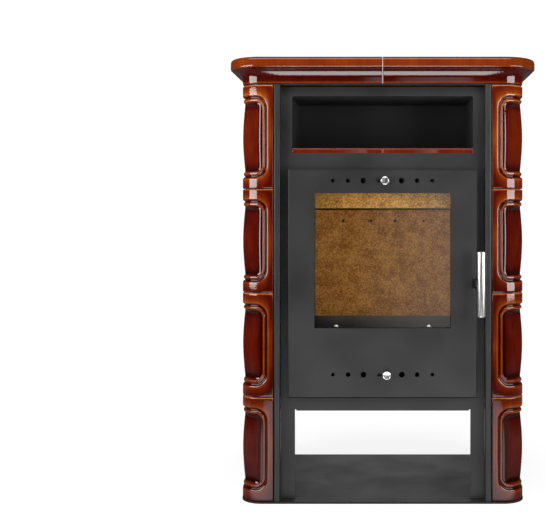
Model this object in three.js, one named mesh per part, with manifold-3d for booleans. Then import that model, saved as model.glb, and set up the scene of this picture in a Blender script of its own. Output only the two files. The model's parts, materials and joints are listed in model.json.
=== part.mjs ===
// A tiled wood stove: a steel body with a warming niche, a glazed door and a wood store, flanked by
// columns of glazed relief tiles that wrap the front corners, under a glazed cornice.
// Millimetres, +Z up, front towards -Y, origin at the middle of the base plate's underside.
import * as THREE from 'three';
import { mergeVertices } from 'three/addons/utils/BufferGeometryUtils.js';
import Module from 'manifold-3d';

const wasm = await Module();
wasm.setup();

// ------------------------------------------------------------------ driving dimensions
const clearance = 0.3; // between pieces that touch
const sheet = 2; // folded steel sheet
const bendRadius = 3; // folds, on the face that the path follows
const overrun = 1; // cutting tools past the faces that they cut

// door, from the window outwards
const windowWidth = 313;
const windowHeight = 310;
const doorStile = 60; // window to the door's side edge
const doorHead = 54; // window to the door's top edge
const doorFoot = 160; // window to the door's bottom edge
const doorThickness = 5;
const doorChamfer = 2.5;
const doorProud = 1; // door face in front of the strips
const doorSideGap = 19.5; // door edge to the strips

// air controls in the door
const upperRowDrop = 25.6; // row centre below the door's top edge
const lowerRowRise = 53.8; // row centre above the door's bottom edge
const holeStart = 44; // row centre to the first hole
const holePitch = 35;
const holeDiameters = [14, 11, 9];
const slotLength = 26;
const slotHeight = 7;
const stemDiameter = 6;
const knobDiameter = 19;
const knobLength = 13;
const upperKnobOffset = 5.4; // knob right of the slot's middle
const lowerKnobOffset = 9.5;
const sliderHeight = 20;
const sliderThickness = 1.5;
const sliderHoleExtra = 2; // slider holes over the door's holes
const sliderEndPlay = 2; // slider to the inner frame at the end of its travel

// door inside
const innerFrameInset = 20.5; // inner frame inside the door's side edges
const innerFrameDrop = 2; // inner frame inside the door's top and bottom edges
const innerFrameWidth = 12;
const ropeDiameter = 8;
const ropeProud = 3.7; // rope behind the inner frame
const glassOverlap = 11;
const glassThickness = 4;
const tapeThickness = 1.7;
const glassFrameLip = 8; // glass frame outside the glass
const mouthInset = 4; // firebox mouth inside the inner frame

// hinges and latch
const hingeInset = 4.5; // hinge axis inside the door's left edge
const hingeDepth = 6; // hinge axis behind the door panel
const hingeMargin = 76; // hinges from the door's top and bottom edges
const hingePinDiameter = 5;
const hingeSleeveDiameter = 9;
const hingeSleeveLength = 24;
const latchInset = 8.5; // latch axis inside the door's right edge
const latchHeight = 263; // latch above the door's bottom edge
const latchThickness = 16;
const latchNotch = 12; // door edge cut back round the latch
const latchNotchPlay = 5; // above and below it
const latchSlotInset = 6; // slot in the front plate, right of the latch axis
const latchSlotMargin = 2; // and to the strip
const latchSlotPlay = 3; // above and below the latch
const keeperReachX = 14; // latch axis to the keeper pin
const keeperReachY = 5;
const keeperPinDiameter = 6;
const clawInnerRadius = 18.4;
const clawOuterRadius = 22.5;
const gripDiameter = 20;
const gripLength = 147;
const gripReachX = 15; // latch axis to the grip
const gripStandOff = 36; // grip axis in front of the strips
const gripGrooveDrop = 17;

// body
const stripWidth = 14;
const frontRecess = 22; // front plate behind the strips
const frontPlateThickness = 3;
const baseThickness = 4;
const baseOverhang = 1;
const storeHeight = 204.7; // wood store above the base plate
const storeSideMargin = 33; // wood store to the strips
const storeLintel = 33.3; // wood store to the door
const storeRelief = 3;
const storeLip = 12; // fold back over the wood store
const doorRail = 39; // door to the niche
const nicheHeight = 132;
const nicheSideMargin = 26.5; // niche to the strips
const nicheCornerRadius = 6;
const nicheLintel = 24; // niche to the top of the body
const plateDrop = 3; // front plate below the top of the body
const nicheDepth = 205;
const nicheWall = 1.5;
const nicheTileThickness = 12;
const nicheToFirebox = 8;
const nicheToChamber = 4;

// firebox
const fireboxDepth = 363;
const fireboxWall = 3;
const fireboxSideGap = 30; // firebox to the strips
const fireboxRise = 14; // firebox floor above the door's bottom edge
const shelfDrop = 53; // brick shelf below the window
const convectionGap = 45.4; // firebox to the rear panel
const smokeChamberDrop = 16; // smoke chamber below the top of the body
const liningThickness = 24;
const backLiningThickness = 28;
const liningTopDrop = 37; // rear lining's top below the window's top edge
const liningSeamOffset = 8;
const liningHoleDiameter = 8;
const liningHoleDrop = 29;
const liningHoleOffsets = [-105.6, -31, 33, 110];
const brickThickness = 28;
const baffleThickness = 35;
const baffleGap = 4; // baffle above the rear lining
const baffleFrontGap = 78; // baffle behind the front plate
const grateWidth = 180;
const grateDepth = 200;
const grateThickness = 14;
const grateFrontGap = 60; // grate behind the front plate
const grateSlots = 8;
const panHeight = 50;
const panWidth = 290;
const panDepth = 270;
const panWall = 1.5;
const panOverlap = 20; // pan in front of the grate
const panGripDrop = 12; // grip below the pan's rim
const panGripReach = 22;
const panGripLip = 12;
const panGripWidth = 90;
const guardRise = 22; // log guard above the window's bottom edge
const guardGap = 40; // log guard behind the front plate
const guardThickness = 3;
const guardLedge = 30;
const guardLedgeDrop = 3.5; // ledge below the window's bottom edge
const guardSideGap = 4;
const guardScrewOffset = 109;
const screwHeadDiameter = 14;
const screwShankDiameter = 6;
const screwShankLength = 12;
const flueDiameter = 150;
const flueWall = 3;
const flueFlange = 7;
const flueDrop = 3; // collar's flange below the smoke chamber's roof
const flueReach = 33; // collar behind the rear panel
const flueGap = 5; // collar to the rear panel's hole

// glazed tiles
const tileRows = 4;
const tileFrontWidth = 77; // strip to the tile's outer side face
const tileThickness = 14;
const tileCornerRadius = 50;
const tileProud = 1; // tile face in front of the strips
const tileJoint = 1.5;
const tileEdgeRound = 2.5;
const cartoucheMargin = 11; // moulded panel's edge to the tile's upright edges
const cartoucheHeightMargin = 21.4; // and to its level ones
const cartoucheRise = 0; // moulded panel above the tile's middle
const cartoucheRadius = 30;
const grooveInset = 4; // groove inside the moulded panel's edge
const grooveDepth = 5;
const beadInset = 10.2;
const beadDrop = 2.1; // bead's crest below the tile's face
const frameWidth = 15; // groove, bead and inner groove together
const frameStretch = 1.35; // the same frame is taller than it is wide
const panelDrop = 5.1; // panel's edge below the tile's face
const chordStart = THREE.MathUtils.degToRad(5.5); // panel leaves the round corner, to cut straight across
const crownDrop = 0.4; // panel's crown below the tile's face
const crownWidth = 120; // level middle of the panel
const crownHeight = 20;

// glazed cornice
const corniceHeight = 57.6;
const corniceOverhang = 28;
const nosingThickness = 24.5;
const nosingTopRadius = 8;
const nosingLowerRadius = 3.5;
const quirk = 2; // level step between the nosing and the cove
const coveFoot = 5; // plain band under the cove
const coveTuck = 2.5; // cornice foot behind the tile face
const corniceRim = 24;
const corniceSlab = 26;
const corniceWeb = 10; // wall beside the seam
const corniceFootRise = 1.5; // foot's lower, steeper face
const corniceSeam = 0.8;
const topPlateInset = 6;

// ------------------------------------------------------------------ heights and planes
const windowHalf = windowWidth / 2;
const doorHalf = windowHalf + doorStile;
const recessHalf = doorHalf + doorSideGap; // inner edge of the strips
const stripOuter = recessHalf + stripWidth;
const bodyHalf = stripOuter + tileFrontWidth;

const storeTop = baseThickness + storeHeight;
const doorBottom = storeTop + storeLintel;
const windowBottom = doorBottom + doorFoot;
const windowTop = windowBottom + windowHeight;
const doorTop = windowTop + doorHead;
const nicheBottom = doorTop + doorRail;
const nicheTop = nicheBottom + nicheHeight;
const bodyTop = nicheTop + nicheLintel;
const topPlateTop = bodyTop + clearance + sheet;
const corniceBottom = topPlateTop + clearance;

const recessToRear = frontRecess + frontPlateThickness + clearance + fireboxDepth + convectionGap;
const bodyDepth = tileProud + baseOverhang + recessToRear + 2 * sheet + clearance;
const stripFace = -bodyDepth / 2 + tileProud + baseOverhang;
const tileFace = stripFace - tileProud;
const rearFace = bodyDepth / 2;
const rearPanelFront = rearFace - 2 * sheet - clearance;
const plateFront = stripFace + frontRecess;
const plateRear = plateFront + frontPlateThickness;
const doorFront = stripFace - doorProud;
const doorRear = doorFront + doorThickness;

const fireboxHalf = recessHalf - fireboxSideGap;
const fireboxFront = plateRear + clearance;
const fireboxRear = fireboxFront + fireboxDepth;
const fireboxBottom = doorBottom + fireboxRise;
const fireboxTop = nicheBottom - nicheWall - clearance - nicheToFirebox;
const smokeChamberTop = bodyTop - smokeChamberDrop;
const smokeChamberFront = fireboxFront + nicheDepth + nicheWall + nicheToChamber;
const chamberHalf = fireboxHalf - fireboxWall;
const shelfTop = windowBottom - shelfDrop;
const brickTop = shelfTop + clearance + brickThickness;
const liningTop = windowTop - liningTopDrop;
const baffleBottom = liningTop + baffleGap;
const flueRadius = flueDiameter / 2;
const flueHeight = smokeChamberTop - flueRadius - flueFlange - flueDrop;

const frameHalf = doorHalf - innerFrameInset;
const frameInnerHalf = frameHalf - innerFrameWidth;
const frameTop = doorTop - innerFrameDrop;
const frameBottom = doorBottom + innerFrameDrop;
const frameFront = doorRear + clearance;
const frameRear = plateFront - clearance - ropeProud;
const mouthHalf = frameInnerHalf - mouthInset;
const mouthTop = frameTop - innerFrameWidth - mouthInset;
const mouthBottom = frameBottom + innerFrameWidth + mouthInset;
const upperRow = doorTop - upperRowDrop;
const lowerRow = doorBottom + lowerRowRise;
const slotTravel = (slotLength - stemDiameter) / 2;
const sliderHalf = frameInnerHalf - slotTravel - sliderEndPlay;

const hinge = { x: -doorHalf + hingeInset, y: doorRear + hingeDepth };
const latch = { x: doorHalf - latchInset, y: doorRear + hingeDepth, z: doorBottom + latchHeight };

// ------------------------------------------------------------------ materials
function finish(color, roughness, metalness) {
  return new THREE.MeshStandardMaterial({ color, roughness, metalness });
}
const glaze = finish(0x7a2508, 0.12, 0);
const paintedSteel = finish(0x45464a, 0.62, 0.2);
const darkSteel = finish(0x232326, 0.7, 0.2);
const castIron = finish(0x2b2b2d, 0.75, 0.4);
const stainless = finish(0xc4c4c0, 0.28, 1);
const vermiculite = finish(0x9c7333, 0.95, 0);
const ropeGrey = finish(0x3a3a3c, 0.95, 0);
const clearGlass = finish(0xd8d2c4, 0.05, 0);
clearGlass.transparent = true;
clearGlass.opacity = 0.35;

// ------------------------------------------------------------------ geometry helpers
function toSolid(geometry) {
  const bare = geometry.clone();
  bare.deleteAttribute('normal');
  bare.deleteAttribute('uv');
  const merged = mergeVertices(bare, 1e-4);
  return new wasm.Manifold(new wasm.Mesh({
    numProp: 3,
    vertProperties: new Float32Array(merged.attributes.position.array),
    triVerts: new Uint32Array(merged.index.array),
  }));
}

function toGeometry(body) {
  const mesh = body.getMesh();
  const geometry = new THREE.BufferGeometry();
  geometry.setAttribute('position', new THREE.BufferAttribute(mesh.vertProperties, 3));
  geometry.setIndex(new THREE.BufferAttribute(mesh.triVerts, 1));
  geometry.computeVertexNormals();
  return geometry;
}

function fuse(...geometries) {
  return toGeometry(geometries.map(toSolid).reduce((all, next) => all.add(next)));
}

function cut(geometry, ...tools) {
  return toGeometry(tools.map(toSolid).reduce((rest, tool) => rest.subtract(tool), toSolid(geometry)));
}

function box([x0, x1], [y0, y1], [z0, z1]) {
  const geometry = new THREE.BoxGeometry(x1 - x0, y1 - y0, z1 - z0);
  return geometry.translate((x0 + x1) / 2, (y0 + y1) / 2, (z0 + z1) / 2);
}

function uprightCylinder(x, y, radius, [z0, z1], sides = 20) {
  const geometry = new THREE.CylinderGeometry(radius, radius, z1 - z0, sides);
  return geometry.rotateX(Math.PI / 2).translate(x, y, (z0 + z1) / 2);
}

function levelCylinder(x, z, radius, [y0, y1], sides = 12) {
  const geometry = new THREE.CylinderGeometry(radius, radius, y1 - y0, sides);
  return geometry.translate(x, (y0 + y1) / 2, z);
}

function extrude(shape, depth, curveSegments = 4) {
  return new THREE.ExtrudeGeometry(shape, { depth, bevelEnabled: false, curveSegments });
}

// shape in X and Y, standing between two heights
function extrudeUp(shape, [z0, z1], curveSegments) {
  return extrude(shape, z1 - z0, curveSegments).translate(0, 0, z0);
}

// shape in X and Z, between two planes in Y
function extrudeBack(shape, [y0, y1], curveSegments) {
  return extrude(shape, y1 - y0, curveSegments).rotateX(Math.PI / 2).translate(0, y1, 0);
}

// shape in Y and Z, between two planes in X
function extrudeAcross(shape, [x0, x1], curveSegments) {
  const turn = new THREE.Matrix4().makeBasis(
    new THREE.Vector3(0, 1, 0),
    new THREE.Vector3(0, 0, 1),
    new THREE.Vector3(1, 0, 0),
  );
  return extrude(shape, x1 - x0, curveSegments).applyMatrix4(turn).translate(x0, 0, 0);
}

function polygon(points) {
  return new THREE.Shape(points.map(([x, y]) => new THREE.Vector2(x, y)));
}

function rectangle([x0, x1], [y0, y1], radius = 0) {
  if (radius === 0) return polygon([[x0, y0], [x1, y0], [x1, y1], [x0, y1]]);
  const shape = new THREE.Shape();
  shape.moveTo(x0 + radius, y0);
  shape.lineTo(x1 - radius, y0);
  shape.absarc(x1 - radius, y0 + radius, radius, -Math.PI / 2, 0);
  shape.lineTo(x1, y1 - radius);
  shape.absarc(x1 - radius, y1 - radius, radius, 0, Math.PI / 2);
  shape.lineTo(x0 + radius, y1);
  shape.absarc(x0 + radius, y1 - radius, radius, Math.PI / 2, Math.PI);
  shape.lineTo(x0, y0 + radius);
  shape.absarc(x0 + radius, y0 + radius, radius, Math.PI, 1.5 * Math.PI);
  return shape;
}

// Rounds the inner corners of an open path of square folds.
function roundedPath(corners, radius) {
  const bendSteps = 3;
  return corners.flatMap((corner, i) => {
    if (radius === 0 || i === 0 || i === corners.length - 1) return [corner];
    const arriving = corner.clone().sub(corners[i - 1]).normalize();
    const leaving = corners[i + 1].clone().sub(corner).normalize();
    const centre = corner.clone().addScaledVector(arriving, -radius).addScaledVector(leaving, radius);
    return Array.from({ length: bendSteps + 1 }, (_, step) => {
      const angle = (step / bendSteps) * (Math.PI / 2);
      return centre.clone()
        .addScaledVector(leaving, -radius * Math.cos(angle))
        .addScaledVector(arriving, radius * Math.sin(angle));
    });
  });
}

// Section of a folded sheet: the path is one face, and the other lies one thickness to its left.
function foldedSheet(path, thickness, radius = 0) {
  const corners = path.map(([x, y]) => new THREE.Vector2(x, y));
  const points = roundedPath(corners, radius);
  const normals = points.slice(1).map((point, i) => {
    const along = point.clone().sub(points[i]).normalize();
    return new THREE.Vector2(-along.y, along.x);
  });
  const inner = points.map((point, i) => {
    const before = normals[Math.max(i - 1, 0)];
    const after = normals[Math.min(i, normals.length - 1)];
    const mitre = before.clone().add(after).multiplyScalar(thickness / (1 + before.dot(after)));
    return point.clone().add(mitre);
  });
  return new THREE.Shape([...points, ...inner.reverse()]);
}

// Skins a row of closed loops with equal point counts; each end cap is a list of index triples.
function loft(loops, startCap, endCap) {
  const count = loops[0].length;
  const indices = [];
  for (let ring = 0; ring + 1 < loops.length; ring += 1) {
    for (let i = 0; i < count; i += 1) {
      const a = ring * count + i;
      const b = ring * count + ((i + 1) % count);
      indices.push(a, b, b + count, a, b + count, a + count);
    }
  }
  const last = (loops.length - 1) * count;
  startCap.forEach(([a, b, c]) => indices.push(a, c, b));
  endCap.forEach(([a, b, c]) => indices.push(last + a, last + b, last + c));
  const geometry = new THREE.BufferGeometry().setFromPoints(loops.flat());
  geometry.setIndex(indices);
  geometry.computeVertexNormals();
  return geometry;
}

// Cap for a loop whose second half runs back opposite its first half.
function ladderCap(count) {
  const triangles = [];
  for (let i = 0; i < count / 2 - 1; i += 1) {
    const far = count - 1 - i;
    triangles.push([i, i + 1, far], [i + 1, far - 1, far]);
  }
  return triangles;
}

function fanCap(count) {
  return Array.from({ length: count - 2 }, (_, i) => [0, i + 1, i + 2]);
}

function mirrorX(geometry) {
  const mirrored = geometry.clone().scale(-1, 1, 1);
  const index = mirrored.index.array;
  for (let i = 0; i < index.length; i += 3) {
    [index[i], index[i + 1]] = [index[i + 1], index[i]];
  }
  mirrored.computeVertexNormals();
  return mirrored;
}

const stove = new THREE.Group();

function place(group, name, geometry, material, [x, y, z] = [0, 0, 0]) {
  const mesh = new THREE.Mesh(geometry, material);
  mesh.name = name;
  mesh.position.set(x, y, z);
  group.add(mesh);
}

// ------------------------------------------------------------------ steel body
const body = new THREE.Group();
stove.add(body);

// Plan of a plate under or over the body, with rounded front corners.
function bodyPlan(inset) {
  const half = bodyHalf - inset;
  const front = tileFace + inset;
  const rear = rearFace - Math.max(inset, 0);
  const radius = tileCornerRadius - inset;
  const plan = new THREE.Shape();
  plan.moveTo(-half, rear);
  plan.lineTo(-half, front + radius);
  plan.absarc(-half + radius, front + radius, radius, Math.PI, 1.5 * Math.PI);
  plan.lineTo(half - radius, front);
  plan.absarc(half - radius, front + radius, radius, 1.5 * Math.PI, 2 * Math.PI);
  plan.lineTo(half, rear);
  return plan;
}
const planSteps = 8;
place(body, 'base_plate', extrudeUp(bodyPlan(-baseOverhang), [0, baseThickness], planSteps), darkSteel);
place(
  body,
  'top_plate',
  extrudeUp(bodyPlan(topPlateInset), [bodyTop + clearance, topPlateTop], planSteps),
  darkSteel,
);

// Each side frame is one folded sheet: recess lip, front strip, side wall and rear flange.
const frameBase = baseThickness + clearance;
const sideFrame = extrudeUp(
  foldedSheet([
    [recessHalf, plateFront - clearance],
    [recessHalf, stripFace],
    [stripOuter, stripFace],
    [stripOuter, rearFace - sheet],
    [bodyHalf - sheet, rearFace - sheet],
  ], sheet, bendRadius),
  [frameBase, bodyTop],
);
place(body, 'side_frame_right', sideFrame, paintedSteel);
place(body, 'side_frame_left', mirrorX(mergeVertices(sideFrame)), paintedSteel);

// The front plate is cut for the niche, the firebox mouth, the latch and the wood store, and its
// lower edge is folded back between two corner reliefs.
const nicheHalf = recessHalf - nicheSideMargin;
const storeHalf = recessHalf - storeSideMargin;
const plateHalf = recessHalf - clearance;
const reliefTop = storeTop + storeRelief + sheet;
const frontPlan = polygon([
  [-plateHalf, frameBase],
  [-storeHalf, frameBase],
  [-storeHalf, reliefTop],
  [-storeHalf + storeRelief, reliefTop],
  [-storeHalf + storeRelief, storeTop],
  [storeHalf - storeRelief, storeTop],
  [storeHalf - storeRelief, reliefTop],
  [storeHalf, reliefTop],
  [storeHalf, frameBase],
  [plateHalf, frameBase],
  [plateHalf, bodyTop - plateDrop],
  [-plateHalf, bodyTop - plateDrop],
]);
const nicheOpening = new THREE.Path();
nicheOpening.moveTo(-nicheHalf, nicheBottom);
nicheOpening.lineTo(nicheHalf, nicheBottom);
nicheOpening.absarc(
  nicheHalf - nicheCornerRadius,
  nicheTop - nicheCornerRadius,
  nicheCornerRadius,
  0,
  Math.PI / 2,
);
nicheOpening.absarc(
  -nicheHalf + nicheCornerRadius,
  nicheTop - nicheCornerRadius,
  nicheCornerRadius,
  Math.PI / 2,
  Math.PI,
);
const latchSlot = {
  left: latch.x + latchSlotInset,
  right: recessHalf - latchSlotMargin,
  half: latchThickness / 2 + latchSlotPlay,
};
frontPlan.holes.push(
  nicheOpening,
  rectangle([-mouthHalf, mouthHalf], [mouthBottom, mouthTop]),
  rectangle([latchSlot.left, latchSlot.right], [latch.z - latchSlot.half, latch.z + latchSlot.half]),
);
const storeFold = box(
  [-storeHalf + storeRelief, storeHalf - storeRelief],
  [plateFront, plateRear + storeLip],
  [storeTop, storeTop + sheet],
);
place(
  body,
  'front_plate',
  fuse(extrudeBack(frontPlan, [plateFront, plateRear]), storeFold),
  paintedSteel,
);

// ceiling of the wood store, turned up at both ends
const ceilingBottom = storeTop + sheet + clearance;
const ceilingTurnUp = 14;
const rearHalf = stripOuter - sheet - clearance;
const ceilingHalf = rearHalf - sheet - clearance;
place(
  body,
  'store_ceiling',
  extrudeAcross(
    foldedSheet([
      [plateRear + clearance, ceilingBottom + ceilingTurnUp],
      [plateRear + clearance, ceilingBottom],
      [rearPanelFront - clearance, ceilingBottom],
      [rearPanelFront - clearance, ceilingBottom + ceilingTurnUp],
    ], nicheWall),
    [-ceilingHalf, ceilingHalf],
  ),
  darkSteel,
);

const flueSides = 24;

// rear panel: a folded sheet with the flue's hole and rows of convection slots
const rearTurnIn = 16;
const rearSlots = 7;
const rearSlotPitch = 58;
const rearSlotHalf = 20;
const rearSlotHeight = 6;
const lowerSlotRise = 70; // row above the wood store's ceiling
const upperSlotDrop = 18; // row below the body's top
function rearSlotTools(z) {
  return Array.from({ length: rearSlots }, (_, i) => {
    const x = (i - (rearSlots - 1) / 2) * rearSlotPitch;
    return box(
      [x - rearSlotHalf, x + rearSlotHalf],
      [rearPanelFront - overrun, rearFace + overrun],
      [z - rearSlotHeight / 2, z + rearSlotHeight / 2],
    );
  });
}
place(
  body,
  'rear_panel',
  cut(
    extrudeUp(
      foldedSheet([
        [rearHalf, rearPanelFront - rearTurnIn],
        [rearHalf, rearPanelFront + sheet],
        [-rearHalf, rearPanelFront + sheet],
        [-rearHalf, rearPanelFront - rearTurnIn],
      ], sheet),
      [storeTop, bodyTop],
    ),
    levelCylinder(
      0,
      flueHeight,
      flueRadius + flueGap,
      [rearPanelFront - overrun, rearFace + overrun],
      flueSides,
    ),
    ...rearSlotTools(ceilingBottom + lowerSlotRise),
    ...rearSlotTools(bodyTop - upperSlotDrop),
  ),
  paintedSteel,
);

// ------------------------------------------------------------------ warming niche
const niche = new THREE.Group();
stove.add(niche);
const nicheBox = { front: fireboxFront, rear: fireboxFront + nicheDepth };
const nicheInner = {
  half: nicheHalf + nicheWall,
  bottom: nicheBottom - clearance,
  top: nicheTop + nicheWall,
};
place(
  niche,
  'niche_box',
  cut(
    box(
      [-nicheInner.half - nicheWall, nicheInner.half + nicheWall],
      [nicheBox.front, nicheBox.rear + nicheWall],
      [nicheInner.bottom - nicheWall, nicheInner.top + nicheWall],
    ),
    box(
      [-nicheInner.half, nicheInner.half],
      [nicheBox.front - overrun, nicheBox.rear],
      [nicheInner.bottom, nicheInner.top],
    ),
  ),
  darkSteel,
);

// A niche tile is a slab with its front edge rounded over.
const nicheTileRound = 4;
const nicheTileSection = new THREE.Shape();
nicheTileSection.moveTo(nicheBox.rear - clearance, nicheBottom);
nicheTileSection.lineTo(nicheBox.rear - clearance, nicheBottom + nicheTileThickness);
nicheTileSection.lineTo(plateFront + nicheTileRound, nicheBottom + nicheTileThickness);
nicheTileSection.absarc(
  plateFront + nicheTileRound,
  nicheBottom + nicheTileThickness - nicheTileRound,
  nicheTileRound,
  Math.PI / 2,
  Math.PI,
);
nicheTileSection.lineTo(plateFront, nicheBottom);
const nicheTile = extrudeAcross(nicheTileSection, [corniceSeam / 2, nicheHalf - clearance]);
place(niche, 'niche_tile_right', nicheTile, glaze);
place(niche, 'niche_tile_left', mirrorX(mergeVertices(nicheTile)), glaze);

// ------------------------------------------------------------------ firebox
const firebox = new THREE.Group();
stove.add(firebox);

// Side view of the firebox with the smoke chamber that rises behind the niche.
function fireboxSection(wall, front) {
  return polygon([
    [front, fireboxBottom + wall],
    [fireboxRear - wall, fireboxBottom + wall],
    [fireboxRear - wall, smokeChamberTop - wall],
    [smokeChamberFront + wall, smokeChamberTop - wall],
    [smokeChamberFront + wall, fireboxTop - wall],
    [front, fireboxTop - wall],
  ]);
}
const grateLedge = 8;
const grateFront = plateRear + grateFrontGap;
const shelf = cut(
  box(
    [-chamberHalf, chamberHalf],
    [fireboxFront, fireboxRear - fireboxWall],
    [shelfTop - fireboxWall, shelfTop],
  ),
  box(
    [-grateWidth / 2 + grateLedge, grateWidth / 2 - grateLedge],
    [grateFront + grateLedge, grateFront + grateDepth - grateLedge],
    [shelfTop - fireboxWall - overrun, shelfTop + overrun],
  ),
);
const fireboxShell = cut(
  extrudeAcross(fireboxSection(0, fireboxFront), [-fireboxHalf, fireboxHalf]),
  extrudeAcross(fireboxSection(fireboxWall, fireboxFront - overrun), [-chamberHalf, chamberHalf]),
  levelCylinder(
    0,
    flueHeight,
    flueRadius - flueWall,
    [fireboxRear - fireboxWall - overrun, fireboxRear + overrun],
    flueSides,
  ),
);
place(firebox, 'firebox_shell', fuse(fireboxShell, shelf), darkSteel);

const collarFront = fireboxRear + clearance;
const collarRear = rearFace + flueReach;
const collarProfile = [
  [flueRadius - flueWall, collarFront],
  [flueRadius + flueFlange, collarFront],
  [flueRadius + flueFlange, collarFront + flueWall],
  [flueRadius, collarFront + flueWall],
  [flueRadius, collarRear],
  [flueRadius - flueWall, collarRear],
  [flueRadius - flueWall, collarFront],
].map(([r, y]) => new THREE.Vector2(r, y));
place(
  firebox,
  'flue_collar',
  new THREE.LatheGeometry(collarProfile, flueSides),
  paintedSteel,
  [0, 0, flueHeight],
);

// The lining stands on the hearth bricks, and its rear panels carry the small air holes.
const liningBottom = brickTop + clearance;
const backLiningRear = fireboxRear - fireboxWall - clearance;
const backLiningFront = backLiningRear - backLiningThickness;
const liningOuter = chamberHalf - clearance;
const liningHoleHeight = liningTop - liningHoleDrop;
function backLining([x0, x1], holeOffsets) {
  const face = rectangle([x0, x1], [liningBottom, liningTop]);
  holeOffsets.forEach((x) => {
    const hole = new THREE.Path();
    hole.absarc(x, liningHoleHeight, liningHoleDiameter / 2, 0, 2 * Math.PI);
    face.holes.push(hole);
  });
  return extrudeBack(face, [backLiningFront, backLiningRear], 5);
}
const seam = clearance / 2;
place(
  firebox,
  'lining_back_left',
  backLining([-liningOuter, liningSeamOffset - seam], liningHoleOffsets.slice(0, 2)),
  vermiculite,
);
place(
  firebox,
  'lining_back_right',
  backLining([liningSeamOffset + seam, liningOuter], liningHoleOffsets.slice(2)),
  vermiculite,
);
const sideLiningFront = fireboxFront + clearance;
const sideLiningTop = baffleBottom - clearance;
const sideLining = box(
  [liningOuter - liningThickness, liningOuter],
  [sideLiningFront, backLiningFront - clearance],
  [liningBottom, sideLiningTop],
);
place(firebox, 'lining_side_right', sideLining, vermiculite);
place(firebox, 'lining_side_left', mirrorX(sideLining), vermiculite);
place(
  firebox,
  'baffle_plate',
  box(
    [-liningOuter, liningOuter],
    [plateRear + baffleFrontGap, backLiningRear],
    [baffleBottom, baffleBottom + baffleThickness],
  ),
  vermiculite,
);

// hearth bricks round the grate
const brickHeights = [shelfTop + clearance, brickTop];
const sideBrick = box(
  [grateWidth / 2 + clearance, liningOuter],
  [sideLiningFront, backLiningRear],
  brickHeights,
);
place(firebox, 'hearth_brick_right', sideBrick, vermiculite);
place(firebox, 'hearth_brick_left', mirrorX(sideBrick), vermiculite);
place(
  firebox,
  'hearth_brick_rear',
  box(
    [-grateWidth / 2, grateWidth / 2],
    [grateFront + grateDepth + clearance, backLiningRear],
    brickHeights,
  ),
  vermiculite,
);

// The grate has slots that run front to back.
const grateBorder = 16;
const grateSlotShare = 0.58; // of the pitch
const grateSlotPitch = (grateWidth - 2 * grateBorder) / grateSlots;
const grateHeights = [shelfTop + clearance, shelfTop + clearance + grateThickness];
const grateSlotTools = Array.from({ length: grateSlots }, (_, i) => {
  const x = -grateWidth / 2 + grateBorder + (i + 0.5) * grateSlotPitch;
  const half = (grateSlotPitch * grateSlotShare) / 2;
  return box(
    [x - half, x + half],
    [grateFront + grateBorder, grateFront + grateDepth - grateBorder],
    [grateHeights[0] - overrun, grateHeights[1] + overrun],
  );
});
const grateBlank = box(
  [-grateWidth / 2 + clearance, grateWidth / 2 - clearance],
  [grateFront, grateFront + grateDepth],
  grateHeights,
);
place(firebox, 'grate', cut(grateBlank, ...grateSlotTools), castIron);

// ash pan: an open tray with a folded grip at the front
const panBottom = fireboxBottom + fireboxWall + clearance;
const panFront = grateFront - panOverlap;
const panGripTop = panBottom + panHeight - panGripDrop;
const panGrip = extrudeAcross(
  foldedSheet([
    [panFront + panWall, panGripTop],
    [panFront - panGripReach, panGripTop],
    [panFront - panGripReach, panGripTop - panGripLip],
  ], panWall),
  [-panGripWidth / 2, panGripWidth / 2],
);
place(
  firebox,
  'ash_pan',
  fuse(
    cut(
      box([-panWidth / 2, panWidth / 2], [panFront, panFront + panDepth], [panBottom, panBottom + panHeight]),
      box(
        [-panWidth / 2 + panWall, panWidth / 2 - panWall],
        [panFront + panWall, panFront + panDepth - panWall],
        [panBottom + panWall, panBottom + panHeight + overrun],
      ),
    ),
    panGrip,
  ),
  paintedSteel,
);

// log guard: an upright plate with a ledge in front, held by two dome-head screws
const guardTop = windowBottom + guardRise;
const guardFront = plateRear + guardGap;
const ledgeTop = windowBottom - guardLedgeDrop;
const guardHalf = liningOuter - liningThickness - guardSideGap;
const screwY = guardFront - guardLedge / 2;
const screwShankRadius = screwShankDiameter / 2;
const guardSection = polygon([
  [guardFront - guardLedge, ledgeTop - guardThickness],
  [guardFront, ledgeTop - guardThickness],
  [guardFront, liningBottom],
  [guardFront + guardThickness, liningBottom],
  [guardFront + guardThickness, guardTop],
  [guardFront, guardTop],
  [guardFront, ledgeTop],
  [guardFront - guardLedge, ledgeTop],
]);
const guardHoles = [-guardScrewOffset, guardScrewOffset].map((x) => uprightCylinder(
  x,
  screwY,
  screwShankRadius + clearance,
  [ledgeTop - guardThickness - overrun, ledgeTop + overrun],
  12,
));
place(
  firebox,
  'log_guard',
  cut(extrudeAcross(guardSection, [-guardHalf, guardHalf]), ...guardHoles),
  darkSteel,
);
const headRadius = screwHeadDiameter / 2;
const domeSteps = 4;
const screwProfile = [
  [0, -screwShankLength],
  [screwShankRadius, -screwShankLength],
  [screwShankRadius, clearance],
  [headRadius, clearance],
];
for (let i = 1; i < domeSteps; i += 1) {
  const angle = (i / domeSteps) * (Math.PI / 2);
  screwProfile.push([headRadius * Math.cos(angle), clearance + headRadius * Math.sin(angle)]);
}
screwProfile.push([0, clearance + headRadius]);
const domeScrew = new THREE.LatheGeometry(
  screwProfile.map(([r, z]) => new THREE.Vector2(r, z)),
  12,
).rotateX(Math.PI / 2);
place(firebox, 'guard_screw_left', domeScrew, stainless, [-guardScrewOffset, screwY, ledgeTop]);
place(firebox, 'guard_screw_right', domeScrew, stainless, [guardScrewOffset, screwY, ledgeTop]);

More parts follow.
